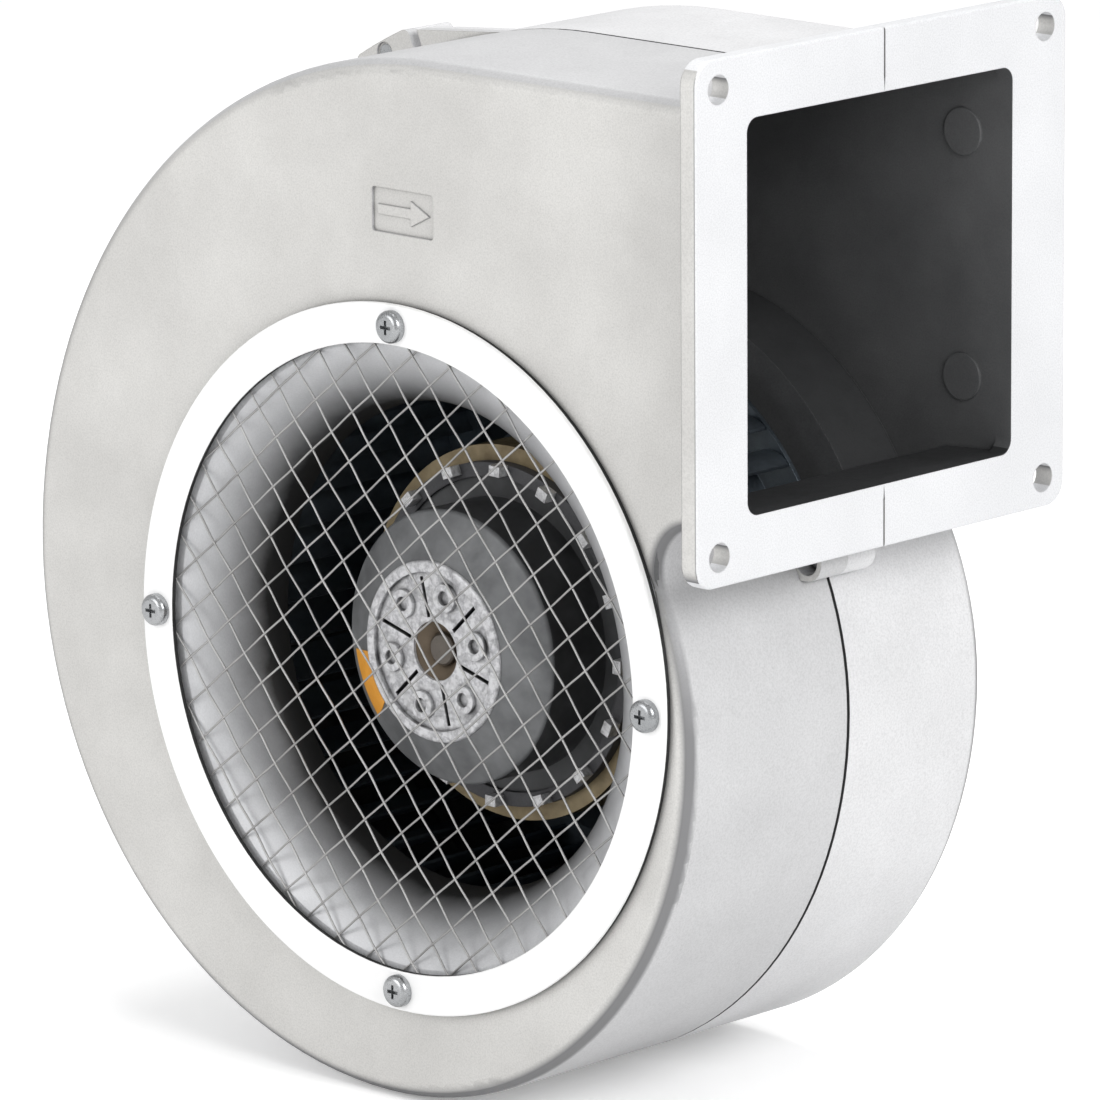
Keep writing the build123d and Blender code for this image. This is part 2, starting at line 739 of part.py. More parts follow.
def rotor_hub():
    """Cast hub: bored disc with a raised rim, six bosses, radial slots, and a rear sleeve."""
    rim_inner_r = HUB_R - 2.8
    boss_r = 3.5
    dimple_r = 1.8
    slot_length = 10.0
    slot_width = 1.0
    floor_y = HUB_Y + HUB_RELIEF
    with BuildPart() as hub:
        with BuildSketch(facing_inlet(HUB_Y)):
            Circle(HUB_R)
        extrude(amount=-(HUB_REAR_Y - HUB_Y))
        front = hub.faces().sort_by(Axis.Y)[0]
        fillet(front.edges(), radius=0.8)
        # recessed floor inside the rim, with the bosses left standing
        with BuildSketch(facing_inlet(HUB_Y)):
            Circle(rim_inner_r)
            with PolarLocations(HUB_BOSS_CIRCLE_R, 6, start_angle=HUB_BOSS_PHASE):
                Circle(boss_r, mode=Mode.SUBTRACT)
        extrude(amount=-HUB_RELIEF, mode=Mode.SUBTRACT)
        with BuildSketch(facing_inlet(HUB_Y)):
            with PolarLocations(HUB_BOSS_CIRCLE_R, 6, start_angle=HUB_BOSS_PHASE):
                Circle(dimple_r)
        extrude(amount=-HUB_RELIEF, mode=Mode.SUBTRACT)
        with BuildSketch(facing_inlet(floor_y)):
            with PolarLocations(HUB_BOSS_CIRCLE_R - 1.0, 6, start_angle=HUB_BOSS_PHASE + 30):
                Rectangle(slot_length, slot_width)
        extrude(amount=-3 * HUB_RELIEF, mode=Mode.SUBTRACT)
        # sleeve that reaches back to the front bearing
        with BuildSketch(facing_inlet(HUB_REAR_Y)):
            Circle(HUB_SLEEVE_R)
        extrude(amount=-(FRONT_BEARING_Y - BEARING_WIDTH / 2 - 1.0 - HUB_REAR_Y))
        with BuildSketch(facing_inlet(HUB_Y)):
            Circle(BUSH_R)
        extrude(amount=-(FRONT_BEARING_Y - HUB_Y), mode=Mode.SUBTRACT)
    return hub


save(rotor_hub(), "rotor_hub")

BUSH_MOUTH = 3.0
BUSH_NOSE_R = 5.4
bush_front = HUB_Y + 2.0
bush_rear = FRONT_BEARING_Y - BEARING_WIDTH / 2
hub_bush = turned(
    [
        (SHAFT_R, bush_front + BUSH_MOUTH),
        (BUSH_R, bush_front),
        (BUSH_R, bush_rear - 1.0),
        (BUSH_NOSE_R, bush_rear),
        (SHAFT_R, bush_rear),
    ]
)
save(hub_bush, "hub_bush")

BELL_SHEET = 2.0
BELL_FLANGE_R = 39.0
BELL_EDGE_R = 1.5


def rotor_bell():
    """Drawn cap between hub and rotor core: shallow cone, straight side and seating flange."""
    flange_y = CORE_FRONT_Y - BELL_SHEET
    inner_r = BELL_R - BELL_SHEET
    with BuildPart() as bell:
        with BuildSketch(revolve_plane):
            with BuildLine():
                Polyline(
                    (HUB_R, BELL_CREST_Y),
                    (BELL_R, BELL_Y),
                    (BELL_R, flange_y),
                    (BELL_FLANGE_R, flange_y),
                    (BELL_FLANGE_R, CORE_FRONT_Y),
                    (inner_r, CORE_FRONT_Y),
                    (inner_r, BELL_Y + BELL_SHEET),
                    (HUB_R, BELL_CREST_Y + BELL_SHEET),
                    close=True,
                )
            make_face()
        revolve(axis=axis_y)
        rims = bell.edges().filter_by(GeomType.CIRCLE)
        rims = [e for e in rims if abs(e.center().Y - BELL_Y) < 0.01]
        fillet(rims, radius=BELL_EDGE_R)
    return bell


save(rotor_bell(), "rotor_bell")

rotor_core = turned(
    [
        (ROTOR_CORE_INNER_R, CORE_FRONT_Y),
        (ROTOR_CORE_OUTER_R, CORE_FRONT_Y),
        (ROTOR_CORE_OUTER_R, CORE_REAR_Y),
        (ROTOR_CORE_INNER_R, CORE_REAR_Y),
    ]
)
save(rotor_core, "rotor_core")


END_RING_OUTER_R = 42.6
END_RING_HEIGHT = 3.0
FIN_SIZE = (2.6, 3.4)
FIN_HEIGHT = 3.2


def rotor_end_ring():
    """Cast end ring with short cooling fins that stand forward."""
    ring_front = CORE_FRONT_Y - END_RING_HEIGHT
    with BuildPart() as cage:
        with BuildSketch(facing_inlet(ring_front)):
            Circle(END_RING_OUTER_R)
            Circle(BELL_FLANGE_R, mode=Mode.SUBTRACT)
        extrude(amount=-END_RING_HEIGHT)
        with BuildSketch(facing_inlet(ring_front - FIN_HEIGHT)):
            fin_circle = END_RING_OUTER_R - FIN_SIZE[0] / 2
            with PolarLocations(fin_circle, FIN_COUNT, start_angle=FIN_PHASE):
                Rectangle(*FIN_SIZE)
        extrude(amount=-FIN_HEIGHT)
    return cage


save(rotor_end_ring(), "rotor_end_ring")

RIVET_DEPTH = 2.5
RIVET_HEAD_R = 2.8
RIVET_HEAD_HEIGHT = 1.2

with BuildPart() as rear_ring:
    with BuildSketch(facing_inlet(CORE_REAR_Y)):
        Circle(ROTOR_CORE_OUTER_R - 0.5)
        Circle(ROTOR_CORE_INNER_R + 1.0, mode=Mode.SUBTRACT)
    extrude(amount=-(BACK_HUB_Y - CORE_REAR_Y))
    with BuildSketch(facing_inlet(BACK_HUB_Y - RIVET_DEPTH)):
        with PolarLocations(RIVET_CIRCLE_R, RIVET_COUNT):
            Circle(RIVET_R)
    extrude(amount=-RIVET_DEPTH, mode=Mode.SUBTRACT)
save(rear_ring, "rotor_rear_ring")

with BuildPart() as rivets:
    with BuildSketch(facing_inlet(BACK_HUB_Y - RIVET_DEPTH)):
        with PolarLocations(RIVET_CIRCLE_R, RIVET_COUNT):
            Circle(RIVET_R)
    extrude(amount=-(RIVET_DEPTH + BACK_SHEET))
    with BuildSketch(facing_inlet(BACK_HUB_Y + BACK_SHEET)):
        with PolarLocations(RIVET_CIRCLE_R, RIVET_COUNT):
            Circle(RIVET_HEAD_R)
    extrude(amount=-RIVET_HEAD_HEIGHT)
save(rivets, "impeller_rivets")

LABEL_LAST_ANGLE = 222.0
LABEL_SPAN = 33.0
LABEL_INNER_R = 22.9
LABEL_OUTER_R = 31.2
LABEL_THICKNESS = 0.15


def bell_cone_y(radius):
    """Depth of the bell's conical face at a radius."""
    share = (radius - HUB_R) / (BELL_R - HUB_R)
    return BELL_CREST_Y + share * (BELL_Y - BELL_CREST_Y)


def cone_label():
    """Thin label on the bell's cone, turned through its own arc."""
    turn = radians(LABEL_LAST_ANGLE)
    start = Plane(
        origin=(AXIS_X, 0, AXIS_Z),
        x_dir=(cos(turn), 0, sin(turn)),
        z_dir=(-sin(turn), 0, cos(turn)),
    )
    inner_y = bell_cone_y(LABEL_INNER_R)
    outer_y = bell_cone_y(LABEL_OUTER_R)
    with BuildPart() as label:
        with BuildSketch(start):
            with BuildLine():
                Polyline(
                    (LABEL_INNER_R, inner_y),
                    (LABEL_OUTER_R, outer_y),
                    (LABEL_OUTER_R, outer_y - LABEL_THICKNESS),
                    (LABEL_INNER_R, inner_y - LABEL_THICKNESS),
                    close=True,
                )
            make_face()
        revolve(axis=axis_y, revolution_arc=LABEL_SPAN)
    return label


save(cone_label(), "rotor_label")

# ---- shaft with a circlip groove ----
SHAFT_FRONT_Y = HUB_Y + 3.2
CLIP_Y = REAR_BEARING_Y + BEARING_WIDTH / 2 + 0.1
CLIP_THICKNESS = 0.8
GROOVE_SHAFT_R = 3.7
CLIP_PLAY = 0.1
CLIP_OUTER_R = 6.0
CLIP_GAP = 3.2
SHAFT_CHAMFER = 0.5
SHAFT_REAR_Y = CLIP_Y + CLIP_THICKNESS + 2.2
clip_groove_end = CLIP_Y + CLIP_THICKNESS + CLIP_PLAY

shaft = turned(
    [
        (0, SHAFT_FRONT_Y),
        (SHAFT_R - SHAFT_CHAMFER, SHAFT_FRONT_Y),
        (SHAFT_R, SHAFT_FRONT_Y + SHAFT_CHAMFER),
        (SHAFT_R, CLIP_Y),
        (GROOVE_SHAFT_R, CLIP_Y),
        (GROOVE_SHAFT_R, clip_groove_end),
        (SHAFT_R, clip_groove_end),
        (SHAFT_R, SHAFT_REAR_Y),
        (0, SHAFT_REAR_Y),
    ]
)
save(shaft, "shaft")

with BuildPart() as circlip:
    with BuildSketch(facing_inlet(CLIP_Y + CLIP_PLAY / 2)):
        Circle(CLIP_OUTER_R)
        Circle(GROOVE_SHAFT_R + CONTACT, mode=Mode.SUBTRACT)
        with Locations((0, -CLIP_OUTER_R)):
            Rectangle(CLIP_GAP, 2 * (CLIP_OUTER_R - 2), mode=Mode.SUBTRACT)
    extrude(amount=-CLIP_THICKNESS)
save(circlip, "shaft_circlip")


# ---------------------------------------------------------------- bearings

def bearing(centre_y, prefix):
    """Deep-groove ball bearing as inner race, outer race, cage and ball set."""
    half = BEARING_WIDTH / 2
    inner_race = race(SHAFT_R, INNER_RACE_R, centre_y, half)
    outer_race = race(OUTER_RACE_R, BEARING_R, centre_y, half)
    with BuildPart() as balls:
        with Locations(facing_inlet(centre_y)):
            with PolarLocations(BALL_PITCH_R, BALL_COUNT):
                Sphere(BALL_R)
    with BuildPart() as cage:
        with BuildSketch(facing_inlet(centre_y - CAGE_WIDTH / 2)):
            Circle(BALL_PITCH_R + CAGE_SHEET / 2)
            Circle(BALL_PITCH_R - CAGE_SHEET / 2, mode=Mode.SUBTRACT)
        extrude(amount=-CAGE_WIDTH)
        with Locations(facing_inlet(centre_y)):
            with PolarLocations(BALL_PITCH_R, BALL_COUNT):
                Cylinder(POCKET_R, 3 * CAGE_SHEET, rotation=(0, 90, 0), mode=Mode.SUBTRACT)
    save(inner_race, f"{prefix}_bearing_inner_race")
    save(outer_race, f"{prefix}_bearing_outer_race")
    save(balls, f"{prefix}_bearing_balls")
    save(cage, f"{prefix}_bearing_cage")


def race(inner_r, outer_r, centre_y, half):
    """Bearing race with a round groove for the balls."""
    with BuildPart() as ring:
        with BuildSketch(revolve_plane):
            with Locations(((inner_r + outer_r) / 2, centre_y)):
                Rectangle(outer_r - inner_r, 2 * half)
            with Locations((BALL_PITCH_R, centre_y)):
                Circle(GROOVE_R, mode=Mode.SUBTRACT)
        revolve(axis=axis_y)
    return ring


bearing(FRONT_BEARING_Y, "front")
bearing(REAR_BEARING_Y, "rear")


# ---------------------------------------------------------------- stator and motor flange

SLOT_COUNT = 12
SLOT_INNER_R = 17.0
SLOT_OUTER_R = 30.6
SLOT_WIDTH = 5.2
SLOT_CORNER_R = 1.2
TOOTH_GAP = 6.0
TOOTH_GAP_DEPTH = 1.6


def slot_sketch(width, inner_r, outer_r):
    """Ring of straight winding slots."""
    with BuildSketch(Plane.XY) as slots:
        with PolarLocations((inner_r + outer_r) / 2, SLOT_COUNT):
            RectangleRounded(outer_r - inner_r, width, SLOT_CORNER_R)
    return slots.sketch


with BuildPart() as stator:
    with BuildSketch(facing_inlet(CORE_FRONT_Y)):
        Circle(STATOR_R)
        Circle(TUBE_R, mode=Mode.SUBTRACT)
        add(slot_sketch(SLOT_WIDTH, SLOT_INNER_R, SLOT_OUTER_R), mode=Mode.SUBTRACT)
        with PolarLocations(STATOR_R - 1.0, SLOT_COUNT):
            Rectangle(TOOTH_GAP, TOOTH_GAP_DEPTH, mode=Mode.SUBTRACT)
    extrude(amount=-(CORE_REAR_Y - CORE_FRONT_Y))
save(stator, "stator_core")

INSULATOR_THICKNESS = 1.0
INSULATOR_R = 31.6
INSULATOR_PLAY = 0.6
END_TURN_HEIGHT = 7.0
END_TURN_INNER_R = 18.0
END_TURN_OUTER_R = 30.0
END_TURN_EDGE_R = 2.6
SLOT_FILL_PLAY = 0.2


def insulator(front_y):
    """Plastic end plate between the core and the end turns."""
    with BuildPart() as plate:
        with BuildSketch(facing_inlet(front_y)):
            Circle(INSULATOR_R)
            Circle(TUBE_R + INSULATOR_PLAY, mode=Mode.SUBTRACT)
            add(slot_sketch(SLOT_WIDTH, SLOT_INNER_R, SLOT_OUTER_R), mode=Mode.SUBTRACT)
        extrude(amount=-INSULATOR_THICKNESS)
    return plate.part


with BuildPart() as insulators:
    add(insulator(CORE_FRONT_Y - INSULATOR_THICKNESS))
    add(insulator(CORE_REAR_Y))
save(insulators, "winding_insulators")

coil_front = CORE_FRONT_Y - INSULATOR_THICKNESS - END_TURN_HEIGHT
coil_rear = CORE_REAR_Y + INSULATOR_THICKNESS + END_TURN_HEIGHT
half_turn = END_TURN_HEIGHT / 2
with BuildPart() as coils:
    for start in (coil_front, coil_rear - END_TURN_HEIGHT):
        with BuildSketch(facing_inlet(start)):
            Circle(END_TURN_OUTER_R)
            Circle(END_TURN_INNER_R, mode=Mode.SUBTRACT)
        extrude(amount=-END_TURN_HEIGHT)
    rims = coils.edges().filter_by(GeomType.CIRCLE).sort_by(Axis.Y)
    fillet(rims[:2] + rims[-2:], radius=END_TURN_EDGE_R)
    with BuildSketch(facing_inlet(coil_front + half_turn)):
        slot_fill = slot_sketch(
            SLOT_WIDTH - 2 * SLOT_FILL_PLAY,
            END_TURN_INNER_R + SLOT_FILL_PLAY,
            END_TURN_OUTER_R - SLOT_FILL_PLAY,
        )
        add(slot_fill)
    extrude(amount=-(coil_rear - coil_front - END_TURN_HEIGHT))
save(coils, "stator_coils")

MOTOR_FLANGE_R = 48.0
MOTOR_FLANGE_THICKNESS = 4.0
FLANGE_SEAT_Y = PLATEAU_Y + WALL
SPIGOT_R = RELIEF_R - 0.1
CABLE_R = 3.2
CABLE_EXIT = (0.0, -24.0)
GLAND_R = CABLE_R + 3.0
GLAND_BORE_R = CABLE_R + 1.2
GLAND_HEIGHT = 12.0
BEARING_STOP_R = 9.3
TUBE_LIP = 0.5
SPRING_SPACE = 1.0
HUB_FOOT_R = 20.0
HUB_TOP_R = 18.0
HUB_LIFT = 4.0
RIB_COUNT = 8
RIB_SIZE = (17.0, 1.8)
MOTOR_RIB_HEIGHT = 3.0
MOTOR_RIB_CIRCLE_R = 28.0


def motor_flange():
    """Cast flange on the plateau with the bearing tube that carries the stator."""
    tube_front = FRONT_BEARING_Y - BEARING_WIDTH / 2 - TUBE_LIP
    front_seat_end = FRONT_BEARING_Y + BEARING_WIDTH / 2
    rear_seat_start = REAR_BEARING_Y - BEARING_WIDTH / 2 - SPRING_SPACE
    rear_face = FLANGE_SEAT_Y + MOTOR_FLANGE_THICKNESS
    with BuildPart() as flange:
        with BuildSketch(revolve_plane):
            with BuildLine():
                Polyline(
                    (BEARING_R, tube_front),
                    (TUBE_R, tube_front),
                    (TUBE_R, PLATEAU_Y - 3),
                    (TUBE_R + 4, PLATEAU_Y),
                    (SPIGOT_R, PLATEAU_Y),
                    (SPIGOT_R, FLANGE_SEAT_Y),
                    (MOTOR_FLANGE_R, FLANGE_SEAT_Y),
                    (MOTOR_FLANGE_R, rear_face),
                    (HUB_FOOT_R, rear_face),
                    (HUB_TOP_R, rear_face + HUB_LIFT),
                    (BEARING_R, rear_face + HUB_LIFT),
                    (BEARING_R, rear_seat_start),
                    (BEARING_STOP_R, rear_seat_start),
                    (BEARING_STOP_R, front_seat_end),
                    (BEARING_R, front_seat_end),
                    close=True,
                )
            make_face()
        revolve(axis=axis_y)
        with BuildSketch(facing_inlet(FLANGE_SEAT_Y)):
            with PolarLocations(MOTOR_SCREW_CIRCLE_R, 4, start_angle=45):
                Circle(M4_CLEARANCE_R)
        extrude(amount=-MOTOR_FLANGE_THICKNESS, mode=Mode.SUBTRACT)
        # cooling ribs on the rear face
        with BuildSketch(rear_plane(rear_face, (0, 0))):
            with PolarLocations(MOTOR_RIB_CIRCLE_R, RIB_COUNT):
                Rectangle(*RIB_SIZE)
        extrude(amount=MOTOR_RIB_HEIGHT)
        # gland for the cable
        with BuildSketch(facing_inlet(PLATEAU_Y)):
            with Locations(CABLE_EXIT):
                Circle(GLAND_R)
        extrude(amount=-GLAND_HEIGHT)
        with BuildSketch(facing_inlet(PLATEAU_Y)):
            with Locations(CABLE_EXIT):
                Circle(GLAND_BORE_R)
        extrude(amount=-GLAND_HEIGHT, mode=Mode.SUBTRACT)
    return flange


save(motor_flange(), "motor_flange")

SPRING_INNER_R = 9.5
SPRING_OUTER_R = 10.8
spring_y = REAR_BEARING_Y - BEARING_WIDTH / 2 - SPRING_SPACE
with BuildPart() as spring:
    with BuildSketch(facing_inlet(spring_y)):
        Circle(SPRING_OUTER_R)
        Circle(SPRING_INNER_R, mode=Mode.SUBTRACT)
    extrude(amount=-SPRING_SPACE)
save(spring, "preload_spring")

CAP_SHEET = 1.2
CAP_SKIRT = 5.0
cap_seat = FLANGE_SEAT_Y + MOTOR_FLANGE_THICKNESS + HUB_LIFT
with BuildPart() as cap:
    with BuildSketch(facing_inlet(cap_seat)):
        Circle(BEARING_R + CAP_SHEET)
    extrude(amount=-CAP_SHEET)
    with BuildSketch(facing_inlet(cap_seat - CAP_SKIRT)):
        Circle(BEARING_R - CONTACT)
        Circle(BEARING_R - CONTACT - CAP_SHEET, mode=Mode.SUBTRACT)
    extrude(amount=-CAP_SKIRT)
    fillet(cap.faces().sort_by(Axis.Y)[-1].edges(), radius=CAP_SHEET / 2)
save(cap, "bearing_cap")

MOTOR_SCREW_LENGTH = 7.0
motor_screw_planes = [
    rear_plane(FLANGE_SEAT_Y + MOTOR_FLANGE_THICKNESS, polar(MOTOR_SCREW_CIRCLE_R, a))
    for a in (45, 135, 225, 315)
]
save(screw_group(motor_screw_planes, MOTOR_SCREW_LENGTH), "motor_screws")

# ---------------------------------------------------------------- cable and capacitor

GROMMET_COLLAR_R = CABLE_R + 2.8
GROMMET_COLLAR = 2.0
gland_rear = PLATEAU_Y + GLAND_HEIGHT
grommet_x = AXIS_X + CABLE_EXIT[0]
grommet_z = AXIS_Z + CABLE_EXIT[1]
grommet_axis = Axis((grommet_x, 0, grommet_z), (0, 1, 0))
grommet_plane = Plane(origin=(grommet_x, 0, grommet_z), x_dir=(1, 0, 0), z_dir=(0, 0, 1))
with BuildPart() as grommet:
    with BuildSketch(grommet_plane):
        with BuildLine():
            Polyline(
                (CABLE_R + CONTACT, PLATEAU_Y + 2),
                (GLAND_BORE_R - CONTACT, PLATEAU_Y + 2),
                (GLAND_BORE_R - CONTACT, gland_rear),
                (GROMMET_COLLAR_R, gland_rear),
                (GROMMET_COLLAR_R, gland_rear + GROMMET_COLLAR),
                (CABLE_R + CONTACT, gland_rear + GROMMET_COLLAR),
                close=True,
            )
        make_face()
    revolve(axis=grommet_axis)
save(grommet, "cable_grommet")

CAPACITOR_R = 14.0
CAPACITOR_LENGTH = 62.0
CAPACITOR_X = AXIS_X + 52.0
CAPACITOR_Z = AXIS_Z + 95.5
CAPACITOR_Y = REAR_Y + 2.0 + CAPACITOR_R
CAPACITOR_CAP_INSET = 3.0
CAPACITOR_CAP_HEIGHT = 5.0
BAND = 1.5
FOOT_WIDTH = 14.0
FOOT_CORNER_R = 4.0

capacitor_plane = Plane(
    origin=(CAPACITOR_X, CAPACITOR_Y, CAPACITOR_Z - CAPACITOR_LENGTH / 2),
    x_dir=(1, 0, 0),
    z_dir=(0, 0, 1),
)
with BuildPart() as capacitor:
    with BuildSketch(capacitor_plane):
        Circle(CAPACITOR_R)
    extrude(amount=CAPACITOR_LENGTH)
    fillet(capacitor.edges().filter_by(GeomType.CIRCLE), radius=1.5)
    with BuildSketch(capacitor_plane):
        Circle(CAPACITOR_R - CAPACITOR_CAP_INSET)
    extrude(amount=-CAPACITOR_CAP_HEIGHT)
    fillet(capacitor.faces().sort_by(Axis.Z)[0].edges(), radius=2.0)
save(capacitor, "run_capacitor")

BRACKET_WIDTH = 18.0
boss_x = AXIS_X + MARK_CENTRES[0][0]


def capacitor_bracket():
    """Sheet band round the capacitor with a long foot on the two rear bosses."""
    foot_z = (MARK_CENTRES[0][1] + MARK_CENTRES[1][1]) / 2 + AXIS_Z
    gap_z = MARK_CENTRES[1][1] - MARK_CENTRES[0][1]
    with BuildPart() as bracket:
        with BuildSketch(Plane(origin=(boss_x, REAR_Y, foot_z), x_dir=(1, 0, 0), z_dir=(0, 1, 0))):
            RectangleRounded(FOOT_WIDTH, gap_z + FOOT_WIDTH, FOOT_CORNER_R)
            with Locations(((CAPACITOR_X - boss_x) / 2, 0)):
                Rectangle(abs(CAPACITOR_X - boss_x), BRACKET_WIDTH)
        extrude(amount=BAND)
        band_plane = Plane(
            origin=(CAPACITOR_X, CAPACITOR_Y, CAPACITOR_Z - BRACKET_WIDTH / 2),
            x_dir=(1, 0, 0),
            z_dir=(0, 0, 1),
        )
        with BuildSketch(band_plane):
            Circle(CAPACITOR_R + BAND + CONTACT)
            Circle(CAPACITOR_R + CONTACT, mode=Mode.SUBTRACT)
        extrude(amount=BRACKET_WIDTH)
        split(bisect_by=Plane(origin=(0, REAR_Y, 0), z_dir=(0, 1, 0)), keep=Keep.TOP)
        with BuildSketch(Plane(origin=(AXIS_X, REAR_Y, AXIS_Z), x_dir=(1, 0, 0), z_dir=(0, -1, 0))):
            with Locations(*MARK_CENTRES):
                Circle(M4_CLEARANCE_R)
        extrude(amount=-BAND, mode=Mode.SUBTRACT)
    return bracket


save(capacitor_bracket(), "capacitor_bracket")

BRACKET_SCREW_LENGTH = 4.0
bracket_screw_planes = [rear_plane(REAR_Y + BAND, centre) for centre in MARK_CENTRES]
save(screw_group(bracket_screw_planes, BRACKET_SCREW_LENGTH), "bracket_screws")

CABLE_LIFT_Y = REAR_Y + 8.0
TERMINAL_Z = CAPACITOR_Z - CAPACITOR_LENGTH / 2 - CAPACITOR_CAP_HEIGHT


def motor_cable():
    """Cable from the motor flange, out of the rear dish and up into the capacitor's cap."""
    start = (grommet_x, PLATEAU_Y + 4, grommet_z)
    out = (grommet_x, gland_rear + 6, grommet_z)
    end = (CAPACITOR_X, CAPACITOR_Y, TERMINAL_Z)
    with BuildPart() as cable:
        with BuildLine():
            Line(start, out)
            Spline(
                out,
                (grommet_x + 26, CABLE_LIFT_Y, grommet_z + 22),
                (CAPACITOR_X, CAPACITOR_Y - 2, TERMINAL_Z - 22),
                end,
                tangents=[(0, 1, 0), (0, 0, 1)],
            )
        with BuildSketch(Plane(origin=start, x_dir=(1, 0, 0), z_dir=(0, 1, 0))):
            Circle(CABLE_R)
        sweep()
    return cable


save(motor_cable(), "motor_cable")
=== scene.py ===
import math

import bmesh
import bpy
from mathutils import Matrix, Vector


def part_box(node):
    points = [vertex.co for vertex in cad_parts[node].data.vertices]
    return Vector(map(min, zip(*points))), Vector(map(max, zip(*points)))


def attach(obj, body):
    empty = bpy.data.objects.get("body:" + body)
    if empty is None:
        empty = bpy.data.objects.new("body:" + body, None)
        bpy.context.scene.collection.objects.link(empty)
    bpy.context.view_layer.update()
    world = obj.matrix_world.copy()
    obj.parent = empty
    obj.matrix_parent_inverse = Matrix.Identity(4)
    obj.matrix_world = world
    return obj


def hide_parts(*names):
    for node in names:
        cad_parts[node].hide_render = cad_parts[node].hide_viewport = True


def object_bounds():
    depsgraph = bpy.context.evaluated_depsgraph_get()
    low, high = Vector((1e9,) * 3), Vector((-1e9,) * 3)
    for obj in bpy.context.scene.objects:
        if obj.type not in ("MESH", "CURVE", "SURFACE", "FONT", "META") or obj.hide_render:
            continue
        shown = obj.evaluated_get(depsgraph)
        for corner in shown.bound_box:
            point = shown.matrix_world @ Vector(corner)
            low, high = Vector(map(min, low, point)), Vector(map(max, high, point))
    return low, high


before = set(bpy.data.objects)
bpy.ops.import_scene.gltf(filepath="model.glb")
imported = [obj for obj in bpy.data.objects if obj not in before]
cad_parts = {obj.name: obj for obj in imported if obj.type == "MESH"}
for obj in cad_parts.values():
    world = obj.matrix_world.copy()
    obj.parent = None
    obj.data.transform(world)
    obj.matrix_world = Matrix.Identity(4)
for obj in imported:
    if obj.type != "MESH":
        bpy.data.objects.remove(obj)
cad_low, cad_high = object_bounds()

MM = 0.001

# ---- places read from the imported CAD parts ----
ring_low, ring_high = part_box("inlet_ring")
guard_low, guard_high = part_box("guard_mesh")
AXIS_X = (ring_low.x + ring_high.x) / 2
AXIS_Z = (ring_low.z + ring_high.z) / 2
RING_FRONT_Y = ring_low.y

# ---- camera: the photograph's viewing angle, in degrees ----
CAMERA_AZIMUTH = 43.44
CAMERA_ELEVATION = 12.86
CAMERA_ROLL = -0.397
CAMERA_DISTANCE = 2.2001
CAMERA_SHIFT_RIGHT = 36.95 * MM
CAMERA_SHIFT_UP = 26.67 * MM
CAMERA_LENS = 299.7
SENSOR_WIDTH = 36.0

# ---- studio ----
FLOOR_SIZE = 6.0
FLOOR_GAP = 0.5 * MM
FLOOR_GLOW = 0.30
WORLD_STRENGTH = 0.62


# ---------------------------------------------------------------- node helpers

